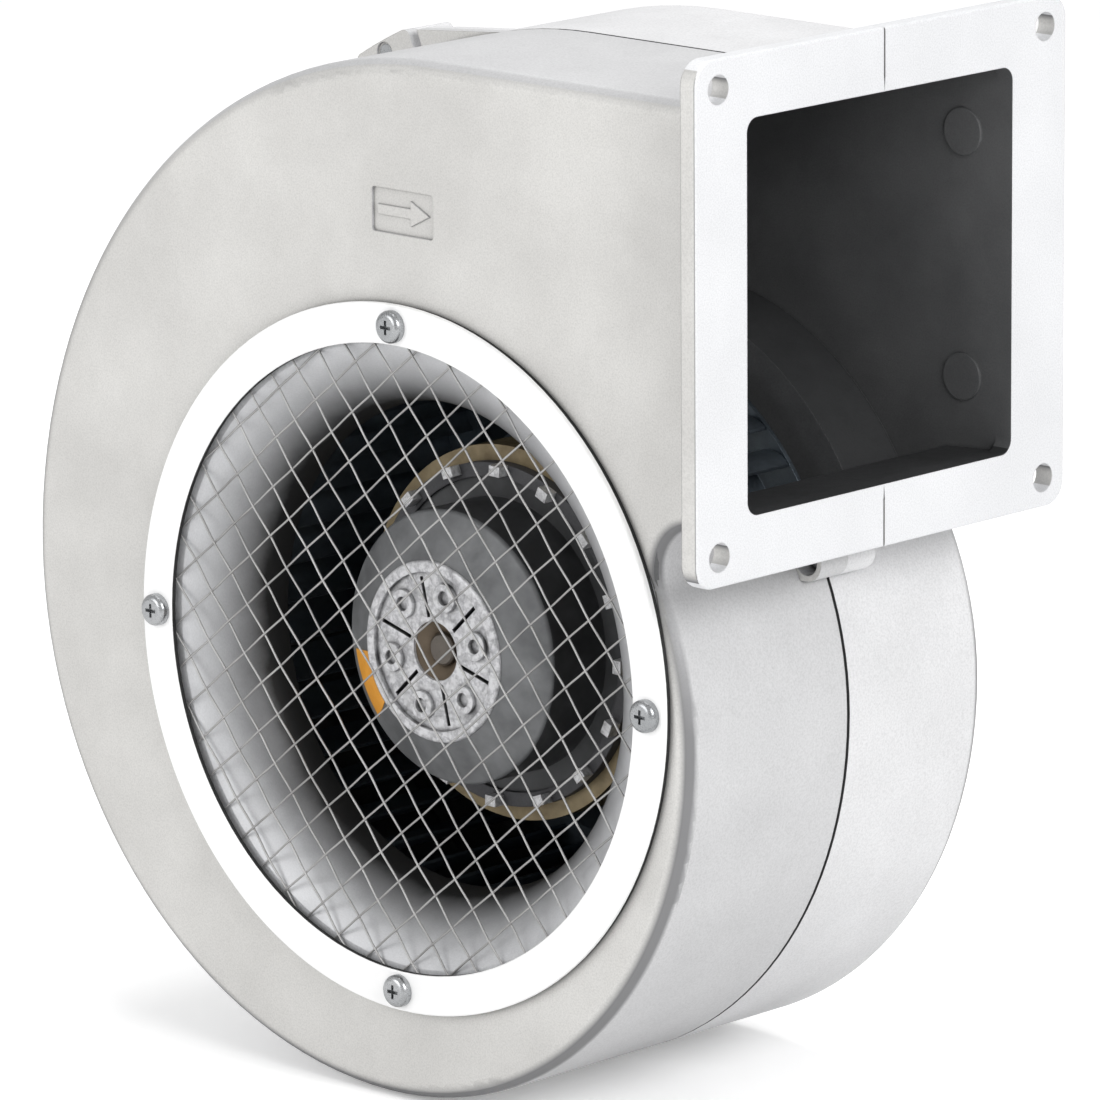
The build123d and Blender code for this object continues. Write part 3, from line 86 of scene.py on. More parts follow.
class Shader:
    """Small wrapper that keeps the making of a node material short."""

    def __init__(self, name):
        self.material = bpy.data.materials.new(name)
        self.material.use_nodes = True
        self.tree = self.material.node_tree
        self.bsdf = self.tree.nodes["Principled BSDF"]
        self.coord = self.node("ShaderNodeTexCoord").outputs["Object"]

    def node(self, kind, **settings):
        made = self.tree.nodes.new(kind)
        for key, value in settings.items():
            setattr(made, key, value)
        return made

    def link(self, source, target):
        self.tree.links.new(source, target)

    def noise(self, size, detail=3.0, roughness=0.55, stretch=(1, 1, 1), seed=0.0):
        """Noise whose features are about size metres across."""
        mapping = self.node("ShaderNodeMapping")
        mapping.inputs["Scale"].default_value = stretch
        mapping.inputs["Location"].default_value = (seed, seed * 0.7, -seed)
        self.link(self.coord, mapping.inputs["Vector"])
        made = self.node("ShaderNodeTexNoise")
        made.inputs["Scale"].default_value = 1 / size
        made.inputs["Detail"].default_value = detail
        made.inputs["Roughness"].default_value = roughness
        self.link(mapping.outputs["Vector"], made.inputs["Vector"])
        return made.outputs["Fac"]

    def cells(self, size, seed=0.0):
        """Distance to the nearest of scattered points about size metres apart."""
        mapping = self.node("ShaderNodeMapping")
        mapping.inputs["Location"].default_value = (seed, -seed, seed)
        self.link(self.coord, mapping.inputs["Vector"])
        made = self.node("ShaderNodeTexVoronoi")
        made.inputs["Scale"].default_value = 1 / size
        self.link(mapping.outputs["Vector"], made.inputs["Vector"])
        return made.outputs["Distance"]

    def ramp(self, source, stops):
        """Colour ramp from (position, value or colour) stops."""
        made = self.node("ShaderNodeValToRGB")
        elements = made.color_ramp.elements
        while len(elements) < len(stops):
            elements.new(0.5)
        for element, (position, value) in zip(elements, stops):
            element.position = position
            if isinstance(value, (int, float)):
                value = (value, value, value)
            element.color = (*value, 1)
        self.link(source, made.inputs["Fac"])
        return made.outputs["Color"]

    def mix(self, factor, first, second, mode="MIX"):
        made = self.node("ShaderNodeMix", data_type="RGBA", blend_type=mode)
        self.put(factor, made.inputs["Factor"])
        self.put(first, made.inputs["A"], colour=True)
        self.put(second, made.inputs["B"], colour=True)
        return made.outputs["Result"]

    def times(self, first, second):
        """One colour or value multiplied by another."""
        return self.mix(1.0, first, second, mode="MULTIPLY")

    def part(self, vector, axis):
        """One component of a vector."""
        split = self.node("ShaderNodeSeparateXYZ")
        self.link(vector, split.inputs["Vector"])
        return split.outputs[axis]

    def math(self, operation, first, second=0.0):
        made = self.node("ShaderNodeMath", operation=operation)
        self.put(first, made.inputs[0])
        self.put(second, made.inputs[1])
        return made.outputs["Value"]

    def put(self, value, target, colour=False):
        """Link a socket to an input, or write a plain value into it."""
        if isinstance(value, bpy.types.NodeSocket):
            self.link(value, target)
        elif colour and len(value) == 3:
            target.default_value = (*value, 1)
        else:
            target.default_value = value

    def edge(self, radius):
        """Value that rises from 0 on flats to 1 on convex or concave edges."""
        bevel = self.node("ShaderNodeBevel", samples=4)
        bevel.inputs["Radius"].default_value = radius
        geometry = self.node("ShaderNodeNewGeometry")
        dot = self.node("ShaderNodeVectorMath", operation="DOT_PRODUCT")
        self.link(bevel.outputs["Normal"], dot.inputs[0])
        self.link(geometry.outputs["Normal"], dot.inputs[1])
        rise = self.node("ShaderNodeMapRange")
        rise.inputs["From Min"].default_value = 1.0
        rise.inputs["From Max"].default_value = 0.75
        self.link(dot.outputs["Value"], rise.inputs["Value"])
        return rise.outputs["Result"]

    def recess(self, distance):
        """Value that falls towards 0 in corners and grooves within a distance."""
        occlusion = self.node("ShaderNodeAmbientOcclusion", samples=8)
        occlusion.inputs["Distance"].default_value = distance
        return occlusion.outputs["AO"]

    def bump(self, layers, round_edges=0.0):
        """Chain of bump layers (height, strength, distance)."""
        normal = None
        if round_edges:
            bevel = self.node("ShaderNodeBevel", samples=4)
            bevel.inputs["Radius"].default_value = round_edges
            normal = bevel.outputs["Normal"]
        for height, strength, distance in layers:
            made = self.node("ShaderNodeBump")
            made.inputs["Strength"].default_value = strength
            made.inputs["Distance"].default_value = distance
            self.link(height, made.inputs["Height"])
            if normal:
                self.link(normal, made.inputs["Normal"])
            normal = made.outputs["Normal"]
        self.link(normal, self.bsdf.inputs["Normal"])

    def finish(self, colour, roughness, metallic=0.0, **others):
        """Join everything to the surface and give the material back."""
        self.put(colour, self.bsdf.inputs["Base Color"], colour=True)
        self.put(roughness, self.bsdf.inputs["Roughness"])
        self.put(metallic, self.bsdf.inputs["Metallic"])
        for name, value in others.items():
            self.put(value, self.bsdf.inputs[name.replace("_", " ")])
        return self.material


# ---------------------------------------------------------------- materials

def rim_shade_mask(s):
    """Painted-shade mask for rounded rims: near 1 where a face turns towards the side, and lower
    where it also looks up.
    """
    normal = s.node("ShaderNodeNewGeometry").outputs["Normal"]
    facing = s.math("ABSOLUTE", s.part(normal, "Y"))
    rim = s.ramp(facing, [(0.12, 0.0), (0.42, 1.0), (0.80, 1.0), (0.985, 0.0)])
    upward = s.ramp(s.part(normal, "Z"), [(0.05, 1.0), (0.45, 0.30)])
    return s.math("MULTIPLY", rim, upward)


def cast_metal(name, light, dark, grain, metallic=0.25, roughness=0.62, rim_shade=None):
    """Sand-blasted die casting: fine pitted grain and soft mottling, with painted shade in corners
    and grooves and, when a rim shade is given, on rounded rims.
    """
    s = Shader(name)
    mottle = s.ramp(s.noise(34 * MM, detail=4.0), [(0.32, dark), (0.68, light)])
    speckle = s.ramp(s.noise(grain, detail=2.0, seed=3.0), [(0.30, 0.86), (0.62, 1.0)])
    colour = s.times(mottle, speckle)
    pits = s.ramp(s.cells(2.6 * grain, seed=1.0), [(0.04, 0.80), (0.16, 1.0)])
    colour = s.mix(0.5, colour, s.times(colour, pits))
    # painted shade: colour darkened in corners and grooves
    corners = s.ramp(s.recess(2.0 * MM), [(0.30, 0.30), (0.72, 1.0)])
    colour = s.times(colour, corners)
    # painted shade: rounded rims darkened towards the rim shade grey
    if rim_shade:
        colour = s.mix(rim_shade_mask(s), colour, rim_shade)
    rough = s.ramp(s.noise(9 * MM, seed=5.0), [(0.3, roughness - 0.08), (0.7, roughness + 0.08)])
    fine = s.noise(grain, detail=4.0, roughness=0.7, seed=7.0)
    broad = s.noise(6 * MM, detail=2.0, seed=2.0)
    s.bump([(broad, 0.12, 0.5 * MM), (fine, 0.35, 0.16 * MM)], round_edges=0.5 * MM)
    return s.finish(colour, rough, metallic)


def rough_cast(name, light, dark, size):
    """Raw gravity casting with flow marks, dark dross lines and small lumps; painted shade darkens
    its corners and grooves.
    """
    s = Shader(name)
    lumps = s.noise(size, detail=5.0, roughness=0.65, seed=3.0)
    marks = s.ramp(s.noise(1.7 * size, detail=4.0, roughness=0.6, seed=8.0),
                   [(0.40, 1.0), (0.47, 0.0), (0.54, 1.0)])
    tone = s.mix(s.math("MULTIPLY", s.math("SUBTRACT", 1.0, marks), 0.45), light, dark)
    shade = s.ramp(lumps, [(0.34, 0.62), (0.56, 1.0)])
    # painted shade: colour darkened nearly to black in corners and grooves
    corners = s.ramp(s.recess(2.2 * MM), [(0.35, 0.04), (0.80, 1.0)])
    colour = s.times(s.times(tone, shade), corners)
    rough = s.ramp(lumps, [(0.3, 0.55), (0.7, 0.32)])
    s.bump([(lumps, 0.55, 0.45 * MM), (marks, 0.3, 0.15 * MM)], round_edges=0.35 * MM)
    return s.finish(colour, rough, 0.35)


def sheet_metal(name, light, dark, stretch, metallic=0.9, roughness=0.35, grain=0.5 * MM):
    """Rolled or drawn sheet with directional brushing and faint stains."""
    s = Shader(name)
    brushed = s.noise(grain, detail=3.0, stretch=stretch, seed=2.0)
    stains = s.noise(18 * MM, detail=5.0, seed=9.0)
    tone = s.ramp(stains, [(0.35, dark), (0.65, light)])
    colour = s.times(tone, s.ramp(brushed, [(0.3, 0.85), (0.7, 1.0)]))
    rough = s.ramp(brushed, [(0.3, roughness - 0.08), (0.7, roughness + 0.1)])
    s.bump([(brushed, 0.12, 0.05 * MM)], round_edges=0.25 * MM)
    return s.finish(colour, rough, metallic)


def drawn_cone(name, light, dark):
    """Spun aluminium bell mouth with painted shade that darkens its colour towards the throat."""
    s = Shader(name)
    spun = s.noise(0.6 * MM, detail=3.0, stretch=(1, 5, 1), seed=2.0)
    stains = s.noise(9 * MM, detail=5.0, seed=9.0)
    tone = s.ramp(stains, [(0.35, dark), (0.65, light)])
    colour = s.times(tone, s.ramp(spun, [(0.3, 0.85), (0.7, 1.0)]))
    # painted shade: colour falls from full at CONE_BRIGHT_Y to near black at CONE_DARK_Y, along a
    # wandering line
    wander = s.math("MULTIPLY", s.math("SUBTRACT", stains, 0.5), 6 * MM)
    along = s.node("ShaderNodeMapRange")
    s.link(s.math("ADD", s.part(s.coord, "Y"), wander), along.inputs["Value"])
    along.inputs["From Min"].default_value = CONE_BRIGHT_Y
    along.inputs["From Max"].default_value = CONE_DARK_Y
    shade = s.ramp(along.outputs["Result"], [(0.0, 1.0), (0.42, 0.42), (0.85, 0.03)])
    colour = s.times(colour, shade)
    rough = s.ramp(spun, [(0.3, 0.40), (0.7, 0.55)])
    s.bump([(spun, 0.12, 0.05 * MM)], round_edges=0.25 * MM)
    return s.finish(colour, rough, 0.4)


def enamel(name, light, dark, roughness=0.3, metallic=0.0):
    """Smooth painted metal with orange peel and faint rubbing at its edges."""
    s = Shader(name)
    tone = s.ramp(s.noise(12 * MM, detail=4.0, seed=4.0), [(0.35, dark), (0.65, light)])
    rub = s.math("MULTIPLY", s.edge(0.6 * MM), s.noise(1.6 * MM, detail=3.0, seed=8.0))
    colour = s.mix(s.math("MULTIPLY", rub, 0.5), tone, dark)
    peel = s.noise(1.1 * MM, detail=1.0, seed=6.0)
    rough = s.ramp(s.noise(5 * MM, seed=1.0), [(0.3, roughness - 0.05), (0.7, roughness + 0.08)])
    s.bump([(peel, 0.08, 0.06 * MM)], round_edges=0.3 * MM)
    return s.finish(colour, rough, metallic)


def moulded(name, light, dark, roughness=0.5, grain=0.4 * MM):
    """Moulded rubber or plastic with a fine eroded texture."""
    s = Shader(name)
    tone = s.ramp(s.noise(8 * MM, detail=4.0, seed=2.0), [(0.35, dark), (0.65, light)])
    texture = s.noise(grain, detail=3.0, seed=4.0)
    rough = s.ramp(s.noise(3 * MM, seed=6.0), [(0.3, roughness - 0.07), (0.7, roughness + 0.1)])
    s.bump([(texture, 0.25, 0.08 * MM)], round_edges=0.3 * MM)
    return s.finish(tone, rough)


def laminated(name, light, dark, pitch):
    """Stack of varnished or bare sheets: fine lines across the fan axis."""
    s = Shader(name)
    wave = s.math("SINE", s.math("MULTIPLY", s.part(s.coord, "Y"), 2 * math.pi / pitch))
    lines = s.ramp(s.math("MULTIPLY_ADD", wave, 0.5), [(0.0, 0.6), (0.5, 1.0)])
    tone = s.ramp(s.noise(7 * MM, detail=5.0, seed=3.0), [(0.3, dark), (0.7, light)])
    colour = s.times(tone, lines)
    rough = s.ramp(s.noise(2 * MM, seed=1.0), [(0.3, 0.35), (0.7, 0.6)])
    s.bump([(wave, 0.2, 0.05 * MM)])
    return s.finish(colour, rough, 0.4)


def winding(name):
    """Enamelled copper wire laid round the stator."""
    s = Shader(name)
    strands = s.noise(0.7 * MM, detail=1.0, stretch=(0.4, 2.4, 0.4), seed=5.0)
    tone = s.ramp(strands, [(0.3, (0.20, 0.07, 0.02)), (0.7, (0.72, 0.34, 0.13))])
    s.bump([(strands, 0.7, 0.4 * MM)])
    return s.finish(tone, 0.35, 0.85)


# grey of the painted shade on the casing's rounded rims
RIM_SHADE_GREY = (0.20, 0.20, 0.205)
# painted shade on the bell mouth runs from full colour at the first depth to near black at the
# second
CONE_BRIGHT_Y = -56.0 * MM
CONE_DARK_Y = -40.0 * MM
# painted light: one cast metal in copies of different brightness for the front face, the sides of
# each half and the flange; the flange is also a smoother machined face
CAST = cast_metal("cast_casing", (0.67, 0.662, 0.643), (0.585, 0.577, 0.56), 0.45 * MM,
                  rim_shade=RIM_SHADE_GREY)
CAST_BRIGHT = cast_metal("cast_flange", (0.755, 0.76, 0.775), (0.70, 0.705, 0.72), 0.40 * MM,
                         metallic=0.05, roughness=0.5)
CAST_SIDE_FRONT = cast_metal("cast_side_front", (0.61, 0.61, 0.617), (0.55, 0.55, 0.557),
                             0.55 * MM, metallic=0.1, roughness=0.6, rim_shade=RIM_SHADE_GREY)
CAST_SIDE_REAR = cast_metal("cast_side_rear", (0.74, 0.74, 0.75), (0.665, 0.665, 0.673),
                            0.55 * MM, metallic=0.1, roughness=0.6, rim_shade=RIM_SHADE_GREY)
CAST_INSIDE = cast_metal("cast_inside", (0.150, 0.152, 0.155), (0.105, 0.107, 0.110), 0.45 * MM,
                         metallic=0.2)
CAST_SHADED = cast_metal("cast_shaded", (0.045, 0.046, 0.048), (0.030, 0.031, 0.032), 0.45 * MM,
                         metallic=0.2)
MOTOR_CAST = cast_metal("cast_motor", (0.55, 0.55, 0.54), (0.45, 0.45, 0.44), 0.5 * MM)
HUB_CAST = rough_cast("cast_hub", (0.66, 0.66, 0.675), (0.22, 0.22, 0.24), 2.2 * MM)
# painted shade: the cage's cast aluminium darkened nearly to black as in shadow, against the lit
# fin tips
CAGE_CAST_SHADED = cast_metal("cast_cage", (0.10, 0.10, 0.105), (0.05, 0.05, 0.055), 0.6 * MM,
                       metallic=0.3)
FIN_CAST = rough_cast("cast_fin_tips", (0.78, 0.78, 0.79), (0.40, 0.40, 0.42), 1.5 * MM)
RING_WHITE = enamel("ring_enamel", (0.93, 0.93, 0.93), (0.88, 0.88, 0.88), roughness=0.35)
BELL_GREY = enamel("painted_bell", (0.19, 0.195, 0.20), (0.105, 0.108, 0.112), roughness=0.45,
                   metallic=0.3)
# painted shade: a darker copy of the bell's grey enamel for its side, as in shadow
BELL_SIDE_SHADE = enamel("shaded_bell_side", (0.075, 0.077, 0.080), (0.045, 0.046, 0.048), roughness=0.5,
                   metallic=0.3)
CONE_METAL = drawn_cone("pressed_aluminium", (0.66, 0.665, 0.68), (0.56, 0.565, 0.58))
WIRE_METAL = sheet_metal("guard_wire", (0.50, 0.495, 0.49), (0.34, 0.335, 0.33),
                         (1, 1, 1), metallic=0.7, roughness=0.42)
SCREW_METAL = sheet_metal("screw_steel", (0.50, 0.51, 0.52), (0.36, 0.37, 0.38), (1, 1, 1),
                          metallic=0.95, roughness=0.28, grain=0.3 * MM)
GALVANISED = sheet_metal("galvanised_sheet", (0.165, 0.195, 0.225), (0.10, 0.12, 0.14),
                         (1, 0.3, 1), metallic=0.85, roughness=0.36)
STEEL = sheet_metal("shaft_steel", (0.17, 0.15, 0.13), (0.10, 0.09, 0.08), (1, 6, 1),
                    metallic=0.8, roughness=0.35, grain=0.3 * MM)
BEARING_STEEL = sheet_metal("bearing_steel", (0.72, 0.73, 0.74), (0.62, 0.63, 0.64), (1, 6, 1),
                            metallic=1.0, roughness=0.16, grain=0.3 * MM)
SPRING_STEEL = sheet_metal("spring_steel", (0.16, 0.155, 0.16), (0.09, 0.09, 0.095), (1, 2, 1),
                           metallic=0.9, roughness=0.35)
ZINC = sheet_metal("zinc_sheet", (0.62, 0.63, 0.64), (0.50, 0.51, 0.52), (0.3, 1, 1),
                   metallic=0.9, roughness=0.35)
BRONZE = sheet_metal("bronze_bush", (0.20, 0.155, 0.11), (0.12, 0.09, 0.06), (1, 4, 1),
                     metallic=0.5, roughness=0.5)
RUBBER = moulded("gasket_rubber", (0.018, 0.018, 0.018), (0.010, 0.010, 0.010), roughness=0.7)
BLACK_PLASTIC = moulded("black_plastic", (0.030, 0.030, 0.031), (0.020, 0.020, 0.021))
CABLE_BLACK = moulded("cable_sheath", (0.035, 0.035, 0.036), (0.022, 0.022, 0.023), grain=0.6 * MM)
IVORY = moulded("insulator_plastic", (0.78, 0.75, 0.66), (0.68, 0.65, 0.56))
CAPACITOR_WHITE = moulded("capacitor_case", (0.74, 0.74, 0.72), (0.66, 0.66, 0.64), roughness=0.35)
LABEL = moulded("label_film", (0.80, 0.36, 0.045), (0.66, 0.28, 0.03), roughness=0.4,
                grain=0.9 * MM)
CORE_VARNISH = laminated("varnished_laminations", (0.30, 0.24, 0.14), (0.16, 0.12, 0.065), 0.5 * MM)
CORE_BARE = laminated("lamination_steel", (0.34, 0.34, 0.35), (0.22, 0.22, 0.23), 0.5 * MM)
COPPER = winding("copper_winding")

NODE_MATERIALS = {
    "inlet_ring": RING_WHITE, "inlet_gasket": RUBBER, "inlet_cone": CONE_METAL,
    "ring_screws": SCREW_METAL, "housing_screws": SCREW_METAL, "notch_screw": SCREW_METAL,
    "motor_screws": SCREW_METAL, "bracket_screws": SCREW_METAL,
    "motor_flange": MOTOR_CAST, "stator_core": CORE_BARE, "stator_coils": COPPER,
    "winding_insulators": IVORY, "bearing_cap": BLACK_PLASTIC, "preload_spring": SPRING_STEEL,
    "shaft_circlip": SPRING_STEEL, "shaft": STEEL, "hub_bush": BRONZE, "rotor_hub": HUB_CAST,
    "rotor_bell": BELL_GREY, "rotor_core": CORE_VARNISH, "rotor_end_ring": CAGE_CAST_SHADED,
    "rotor_rear_ring": CAGE_CAST_SHADED, "rotor_label": LABEL, "impeller_back_plate": GALVANISED,
    "impeller_blades": GALVANISED, "impeller_shroud_ring": GALVANISED,
    "impeller_rivets": ZINC, "motor_cable": CABLE_BLACK, "cable_grommet": RUBBER,
    "run_capacitor": CAPACITOR_WHITE, "capacitor_bracket": ZINC,
    "front_bearing_inner_race": BEARING_STEEL, "front_bearing_outer_race": BEARING_STEEL,
    "rear_bearing_inner_race": BEARING_STEEL, "rear_bearing_outer_race": BEARING_STEEL,
    "front_bearing_balls": BEARING_STEEL, "rear_bearing_balls": BEARING_STEEL,
    "front_bearing_cage": ZINC, "rear_bearing_cage": ZINC,
}


def smooth(obj, angle=32.0):
    """Smooth shading that keeps edges sharper than the angle."""
    mesh = obj.data
    mesh.shade_smooth()
    mesh.set_sharp_from_angle(angle=math.radians(angle))


def paint(obj, *materials):
    """Give a piece its materials, in slot order."""
    obj.data.materials.clear()
    for material in materials:
        obj.data.materials.append(material)


for node, material in NODE_MATERIALS.items():
    paint(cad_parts[node], material)
    smooth(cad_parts[node])


# ---------------------------------------------------------------- casing halves

CASING_FRONT_Y = -56.5 * MM
CASING_REAR_Y = 49.5 * MM
FACE_MARGIN = 1.0 * MM
VOLUTE_STEP = 18.0 * MM
VOLUTE_HALF = VOLUTE_STEP / 2
VOLUTE_FIRST_R = 83.4 * MM
DUCT_OUTER = 50.5 * MM
DISH_R = 77.6 * MM
GROOVE_HALF_WIDTH = 0.52 * MM
GROOVE_LEAST_DEPTH = 0.05 * MM
FLANGE_FACE_X = -0.5 * MM
FLANGE_BACK_X = -5.2 * MM
DISH_Y = 27.5 * MM
WALL_MIDDLE = 1.75 * MM
PLATEAU_R = 80.6 * MM
FLOOR_Z = -45.0 * MM
FLOOR_START_X = -30.0 * MM
NOSE_LOW = 31.0 * MM
NOSE_X = 81.5 * MM
NOSE_WALL_X = 83.3 * MM


def axis_distance(point):
    """Distance of a point from the fan axis."""
    return math.hypot(point.x - AXIS_X, point.z - AXIS_Z)


def wall_depth(x, z):
    """How far a point lies inside the casing's outer outline, seen along the fan axis."""
    u, w = x - AXIS_X, z - AXIS_Z
    if u > VOLUTE_HALF and z > -DUCT_OUTER:
        return min(DUCT_OUTER - z, DUCT_OUTER + z) if u > NOSE_X else DUCT_OUTER - z
    if u > VOLUTE_HALF and w > NOSE_LOW:
        return NOSE_WALL_X - u
    quarter = (1 if u > -VOLUTE_HALF else 2) if w < 0 else (2 if u < 0 else 3)
    if u > VOLUTE_HALF and w > -VOLUTE_HALF:
        quarter = 0
    centre_x = VOLUTE_HALF if quarter in (0, 3) else -VOLUTE_HALF
    centre_z = VOLUTE_HALF if quarter in (2, 3) else -VOLUTE_HALF
    radius = VOLUTE_FIRST_R + quarter * VOLUTE_STEP
    return radius - math.hypot(u - centre_x, w - centre_z)


def casing_slot(face):
    """Colour slot of a face: 0 front, 1 side, 2 flange face, 3 inside, 4 shaded inside; slots 0, 1
    and 2 carry painted light and shade by facing, slot 4 painted shade.
    """
    x, y, z = face.center
    n = face.normal
    depth = wall_depth(x, z)
    if abs(y) < GROOVE_HALF_WIDTH and depth > GROOVE_LEAST_DEPTH:
        return 3
    from_axis = axis_distance(face.center)
    between = CASING_FRONT_Y + FACE_MARGIN < y < CASING_REAR_Y - FACE_MARGIN
    in_dish = from_axis < DISH_R and y > DISH_Y
    if between and depth > WALL_MIDDLE and not in_dish and x < FLANGE_FACE_X:
        on_plateau = from_axis < PLATEAU_R and abs(n.y) < 0.5
        on_floor = n.z > 0.7 and z < FLOOR_Z and x > FLOOR_START_X
        return 4 if on_plateau or on_floor else 3
    # painted light: faces turned to the front, the flange and the sides take copies of one cast
    # metal at different brightness
    if n.y < -0.75:
        return 0
    if x > FLANGE_BACK_X and (n.x > 0.1 or abs(n.y) + abs(n.z) > 0.5):
        return 2
    return 1


for name, side in (("front_housing", CAST_SIDE_FRONT), ("rear_housing", CAST_SIDE_REAR)):
    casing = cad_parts[name]
    paint(casing, CAST, side, CAST_BRIGHT, CAST_INSIDE, CAST_SHADED)
    smooth(casing)
    for face in casing.data.polygons:
        face.material_index = casing_slot(face)


# ---------------------------------------------------------------- pieces with painted shade on part of them

# radius inside which the ring's inner wall is painted black as shadow
RING_EDGE_R = 77.5 * MM
BELL_FRONT_R = 33.9 * MM
BELL_SIDE_Y = -39.0 * MM
FIN_LIMIT_Y = -23.2 * MM


def ring_edge_shadow(face):
    """The clamp ring's inner edge, which takes the black rubber as painted shadow."""
    return axis_distance(face.center) < RING_EDGE_R and abs(face.normal.y) < 0.3


def bell_side(face):
    """The bell's side behind its enamelled front, which takes painted shade."""
    return face.center.y > BELL_SIDE_Y or axis_distance(face.center) > BELL_FRONT_R


def fin_tip(face):
    """The outer part of the fins on the end ring, which take the lit cast copy while the rest of
    the ring carries painted shade.
    """
    return face.center.y < FIN_LIMIT_Y


# painted shade on part of each piece: black shadow on the ring's inner edge, a dark copy on the
# bell's side, a shaded cage under lit fin tips
for name, main, other, takes_other in (
    ("inlet_ring", RING_WHITE, RUBBER, ring_edge_shadow),
    ("rotor_bell", BELL_GREY, BELL_SIDE_SHADE, bell_side),
    ("rotor_end_ring", CAGE_CAST_SHADED, FIN_CAST, fin_tip),
):
    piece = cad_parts[name]
    paint(piece, main, other)
    for face in piece.data.polygons:
        face.material_index = 1 if takes_other(face) else 0


# ---------------------------------------------------------------- wire guard

GUARD_ANGLE = 39.4
GUARD_PITCH = 8.83 * MM
GUARD_SHIFTS = (2.45 * MM, -1.9 * MM)
WIRE_R = 0.28 * MM
CRIMP = 0.2 * MM
WIRE_SIDES = 8
STEPS_PER_PITCH = 8
SHORTEST_WIRE_INSET = 2.0 * MM


def wire_path(radius, offset, phase, sign):
    """Crimped path of one wire in its own plane: (along, across, depth) samples."""
    half = math.sqrt(radius**2 - offset**2)
    count = max(4, int(2 * half / GUARD_PITCH * STEPS_PER_PITCH))
    samples = []
    for i in range(count + 1):
        along = -half + 2 * half * i / count
        wave = math.cos(math.pi * (along - phase) / GUARD_PITCH)
        samples.append(Vector((along, offset, sign * CRIMP * wave)))
    return samples


def tube(mesh, path, radius, sides):
    """Closed tube along a path, added to a bmesh."""
    rings = []
    for i, point in enumerate(path):
        ahead = path[min(i + 1, len(path) - 1)] - path[max(i - 1, 0)]
        ahead.normalize()
        side = ahead.cross(Vector((0, 1, 0))).normalized()
        up = side.cross(ahead)
        ring = []
        for k in range(sides):
            turn = 2 * math.pi * k / sides
            spoke = (side * math.cos(turn) + up * math.sin(turn)) * radius
            ring.append(mesh.verts.new(point + spoke))
        rings.append(ring)
    for first, second in zip(rings, rings[1:]):
        for k in range(sides):
            mesh.faces.new((first[k], first[(k + 1) % sides], second[(k + 1) % sides], second[k]))
    mesh.faces.new(rings[0][::-1])
    mesh.faces.new(rings[-1])


def new_piece(name, mesh, material, body):
    """Object from a bmesh, with one material, that rides on a body."""
    bmesh.ops.recalc_face_normals(mesh, faces=mesh.faces)
    data = bpy.data.meshes.new(name)
    mesh.to_mesh(data)
    mesh.free()
    obj = bpy.data.objects.new(name, data)
    bpy.context.scene.collection.objects.link(obj)
    data.materials.append(material)
    smooth(obj)
    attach(obj, body)
    return obj


def woven_guard():
    """Plain-weave wire guard with crimped wires, cut round."""
    mesh = bmesh.new()
    radius = (guard_high.x - guard_low.x) / 2
    depth = (guard_low.y + guard_high.y) / 2
    count = int(radius / GUARD_PITCH) + 1
    for family, angle in enumerate((GUARD_ANGLE, GUARD_ANGLE - 90)):
        turn = math.radians(angle)
        along_dir = Vector((math.cos(turn), 0, math.sin(turn)))
        across_dir = Vector((-math.sin(turn), 0, math.cos(turn)))
        for k in range(-count, count + 1):
            offset = GUARD_SHIFTS[family] + k * GUARD_PITCH
            if abs(offset) > radius - SHORTEST_WIRE_INSET:
                continue
            sign = (1 if k % 2 else -1) * (1 if family else -1)
            # the other family's wires cross this one at their own shift
            phase = GUARD_SHIFTS[1] if family == 0 else -GUARD_SHIFTS[0]
            path = []
            for along, across, lift in wire_path(radius, offset, phase, sign):
                centre = Vector((AXIS_X, depth + lift, AXIS_Z))
                path.append(centre + along_dir * along + across_dir * across)
            tube(mesh, path, WIRE_R, WIRE_SIDES)
    guard = new_piece("guard_weave", mesh, WIRE_METAL, "housing")
    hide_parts("guard_mesh")


woven_guard()


# ---------------------------------------------------------------- floor, light and camera

def floor():
    """Wide pale floor under the fan, a little brighter to the camera."""
    mesh = bmesh.new()
    bmesh.ops.create_grid(mesh, x_segments=1, y_segments=1, size=FLOOR_SIZE)
    data = bpy.data.meshes.new("floor")
    mesh.to_mesh(data)
    mesh.free()
    obj = bpy.data.objects.new("floor", data)
    obj.location = (0, 0, cad_low.z - FLOOR_GAP)
    bpy.context.scene.collection.objects.link(obj)
    s = Shader("floor_white")
    tone = s.ramp(s.noise(0.4, detail=2.0), [(0.3, 0.90), (0.7, 0.92)])
    seen = s.node("ShaderNodeLightPath").outputs["Is Camera Ray"]
    glow = s.math("MULTIPLY", seen, FLOOR_GLOW)
    data.materials.append(s.finish(tone, 0.9, Emission_Color=tone, Emission_Strength=glow))


def area_light(name, place, target, size, power):
    """Round soft light that looks at a target."""
    data = bpy.data.lights.new(name, "AREA")
    data.shape = "DISK"
    data.size = size
    data.energy = power
    obj = bpy.data.objects.new(name, data)
    obj.location = place
    obj.rotation_euler = (Vector(target) - Vector(place)).to_track_quat("-Z", "Y").to_euler()
    bpy.context.scene.collection.objects.link(obj)


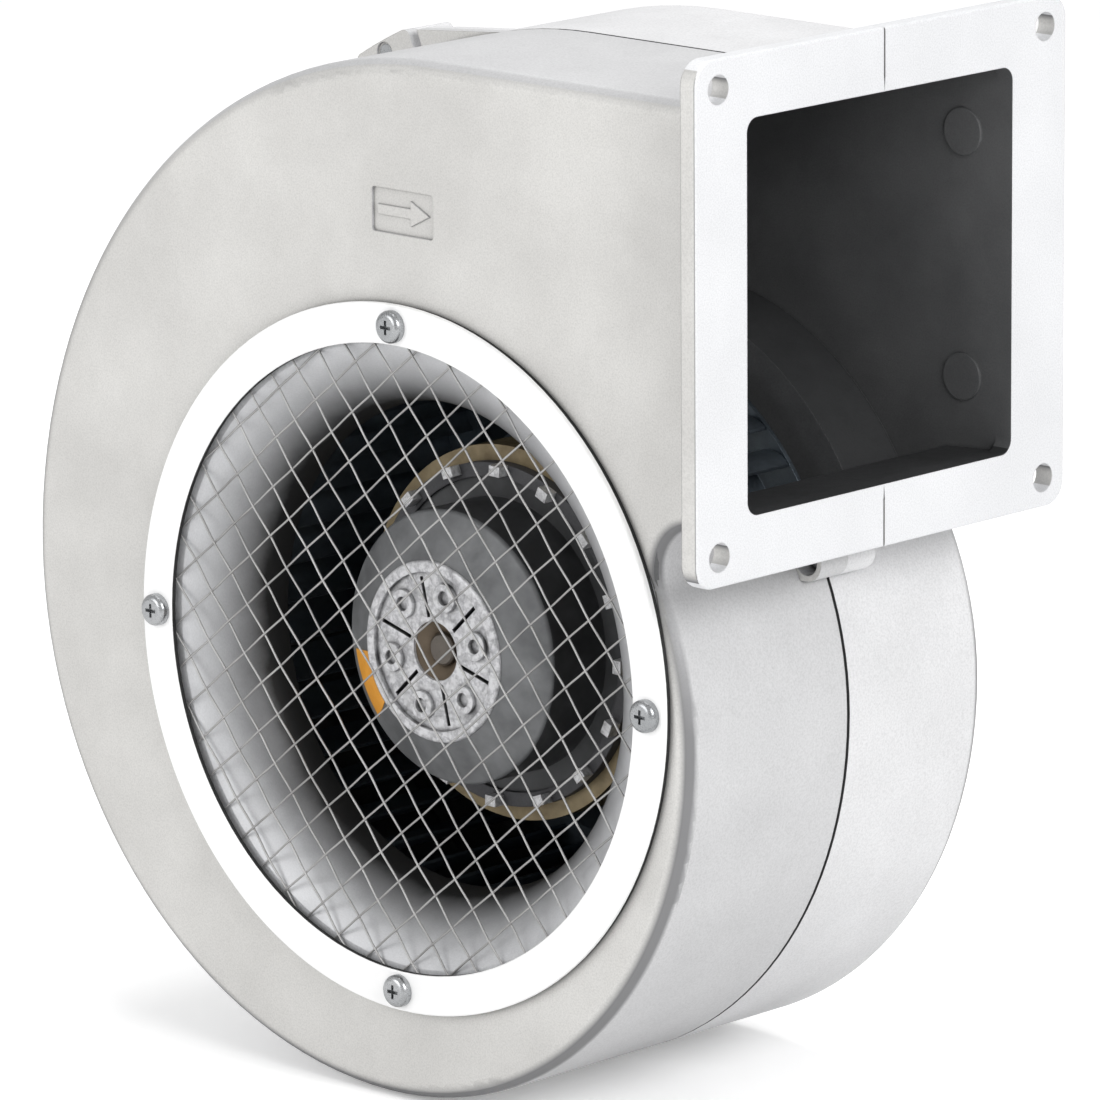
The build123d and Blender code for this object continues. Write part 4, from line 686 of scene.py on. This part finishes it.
def white_world(strength):
    """Plain white surroundings: bright to the camera, softer as a light."""
    world = bpy.data.worlds.new("studio")
    bpy.context.scene.world = world
    world.use_nodes = True
    tree = world.node_tree
    background = tree.nodes["Background"]
    path = tree.nodes.new("ShaderNodeLightPath")
    level = tree.nodes.new("ShaderNodeMapRange")
    level.inputs["To Min"].default_value = strength
    level.inputs["To Max"].default_value = 1.0
    tree.links.new(path.outputs["Is Camera Ray"], level.inputs["Value"])
    tree.links.new(level.outputs["Result"], background.inputs["Strength"])
    background.inputs["Color"].default_value = (1, 1, 1, 1)


def photo_camera():
    """Camera at the photograph's viewing angle, aimed past the inlet ring's centre."""
    azimuth, elevation = math.radians(CAMERA_AZIMUTH), math.radians(CAMERA_ELEVATION)
    back = Vector((math.sin(azimuth) * math.cos(elevation),
                   -math.cos(azimuth) * math.cos(elevation),
                   math.sin(elevation)))
    level_right = Vector((math.cos(azimuth), math.sin(azimuth), 0))
    level_up = back.cross(level_right)
    roll = math.radians(CAMERA_ROLL)
    right = level_right * math.cos(roll) + level_up * math.sin(roll)
    up = level_up * math.cos(roll) - level_right * math.sin(roll)
    data = bpy.data.cameras.new("photo_camera")
    data.lens = CAMERA_LENS
    data.sensor_width = SENSOR_WIDTH
    data.clip_start = 0.05
    data.clip_end = 50.0
    obj = bpy.data.objects.new("photo_camera", data)
    ring_centre = Vector((AXIS_X, RING_FRONT_Y, AXIS_Z))
    place = ring_centre + right * CAMERA_SHIFT_RIGHT + up * CAMERA_SHIFT_UP + back * CAMERA_DISTANCE
    axes = Matrix((right, up, back)).transposed()
    obj.matrix_world = Matrix.Translation(place) @ axes.to_4x4()
    bpy.context.scene.collection.objects.link(obj)
    bpy.context.scene.camera = obj


floor()
white_world(WORLD_STRENGTH)
middle = (cad_low + cad_high) / 2
area_light("key", (1.3, -0.35, 0.75), middle, 0.9, 14)
area_light("fill", (-0.6, -1.6, 0.5), middle, 1.2, 9.3)
area_light("top", (-0.2, 0.3, 1.6), middle, 0.9, 12)
photo_camera()
bpy.context.scene.view_settings.view_transform = "Standard"
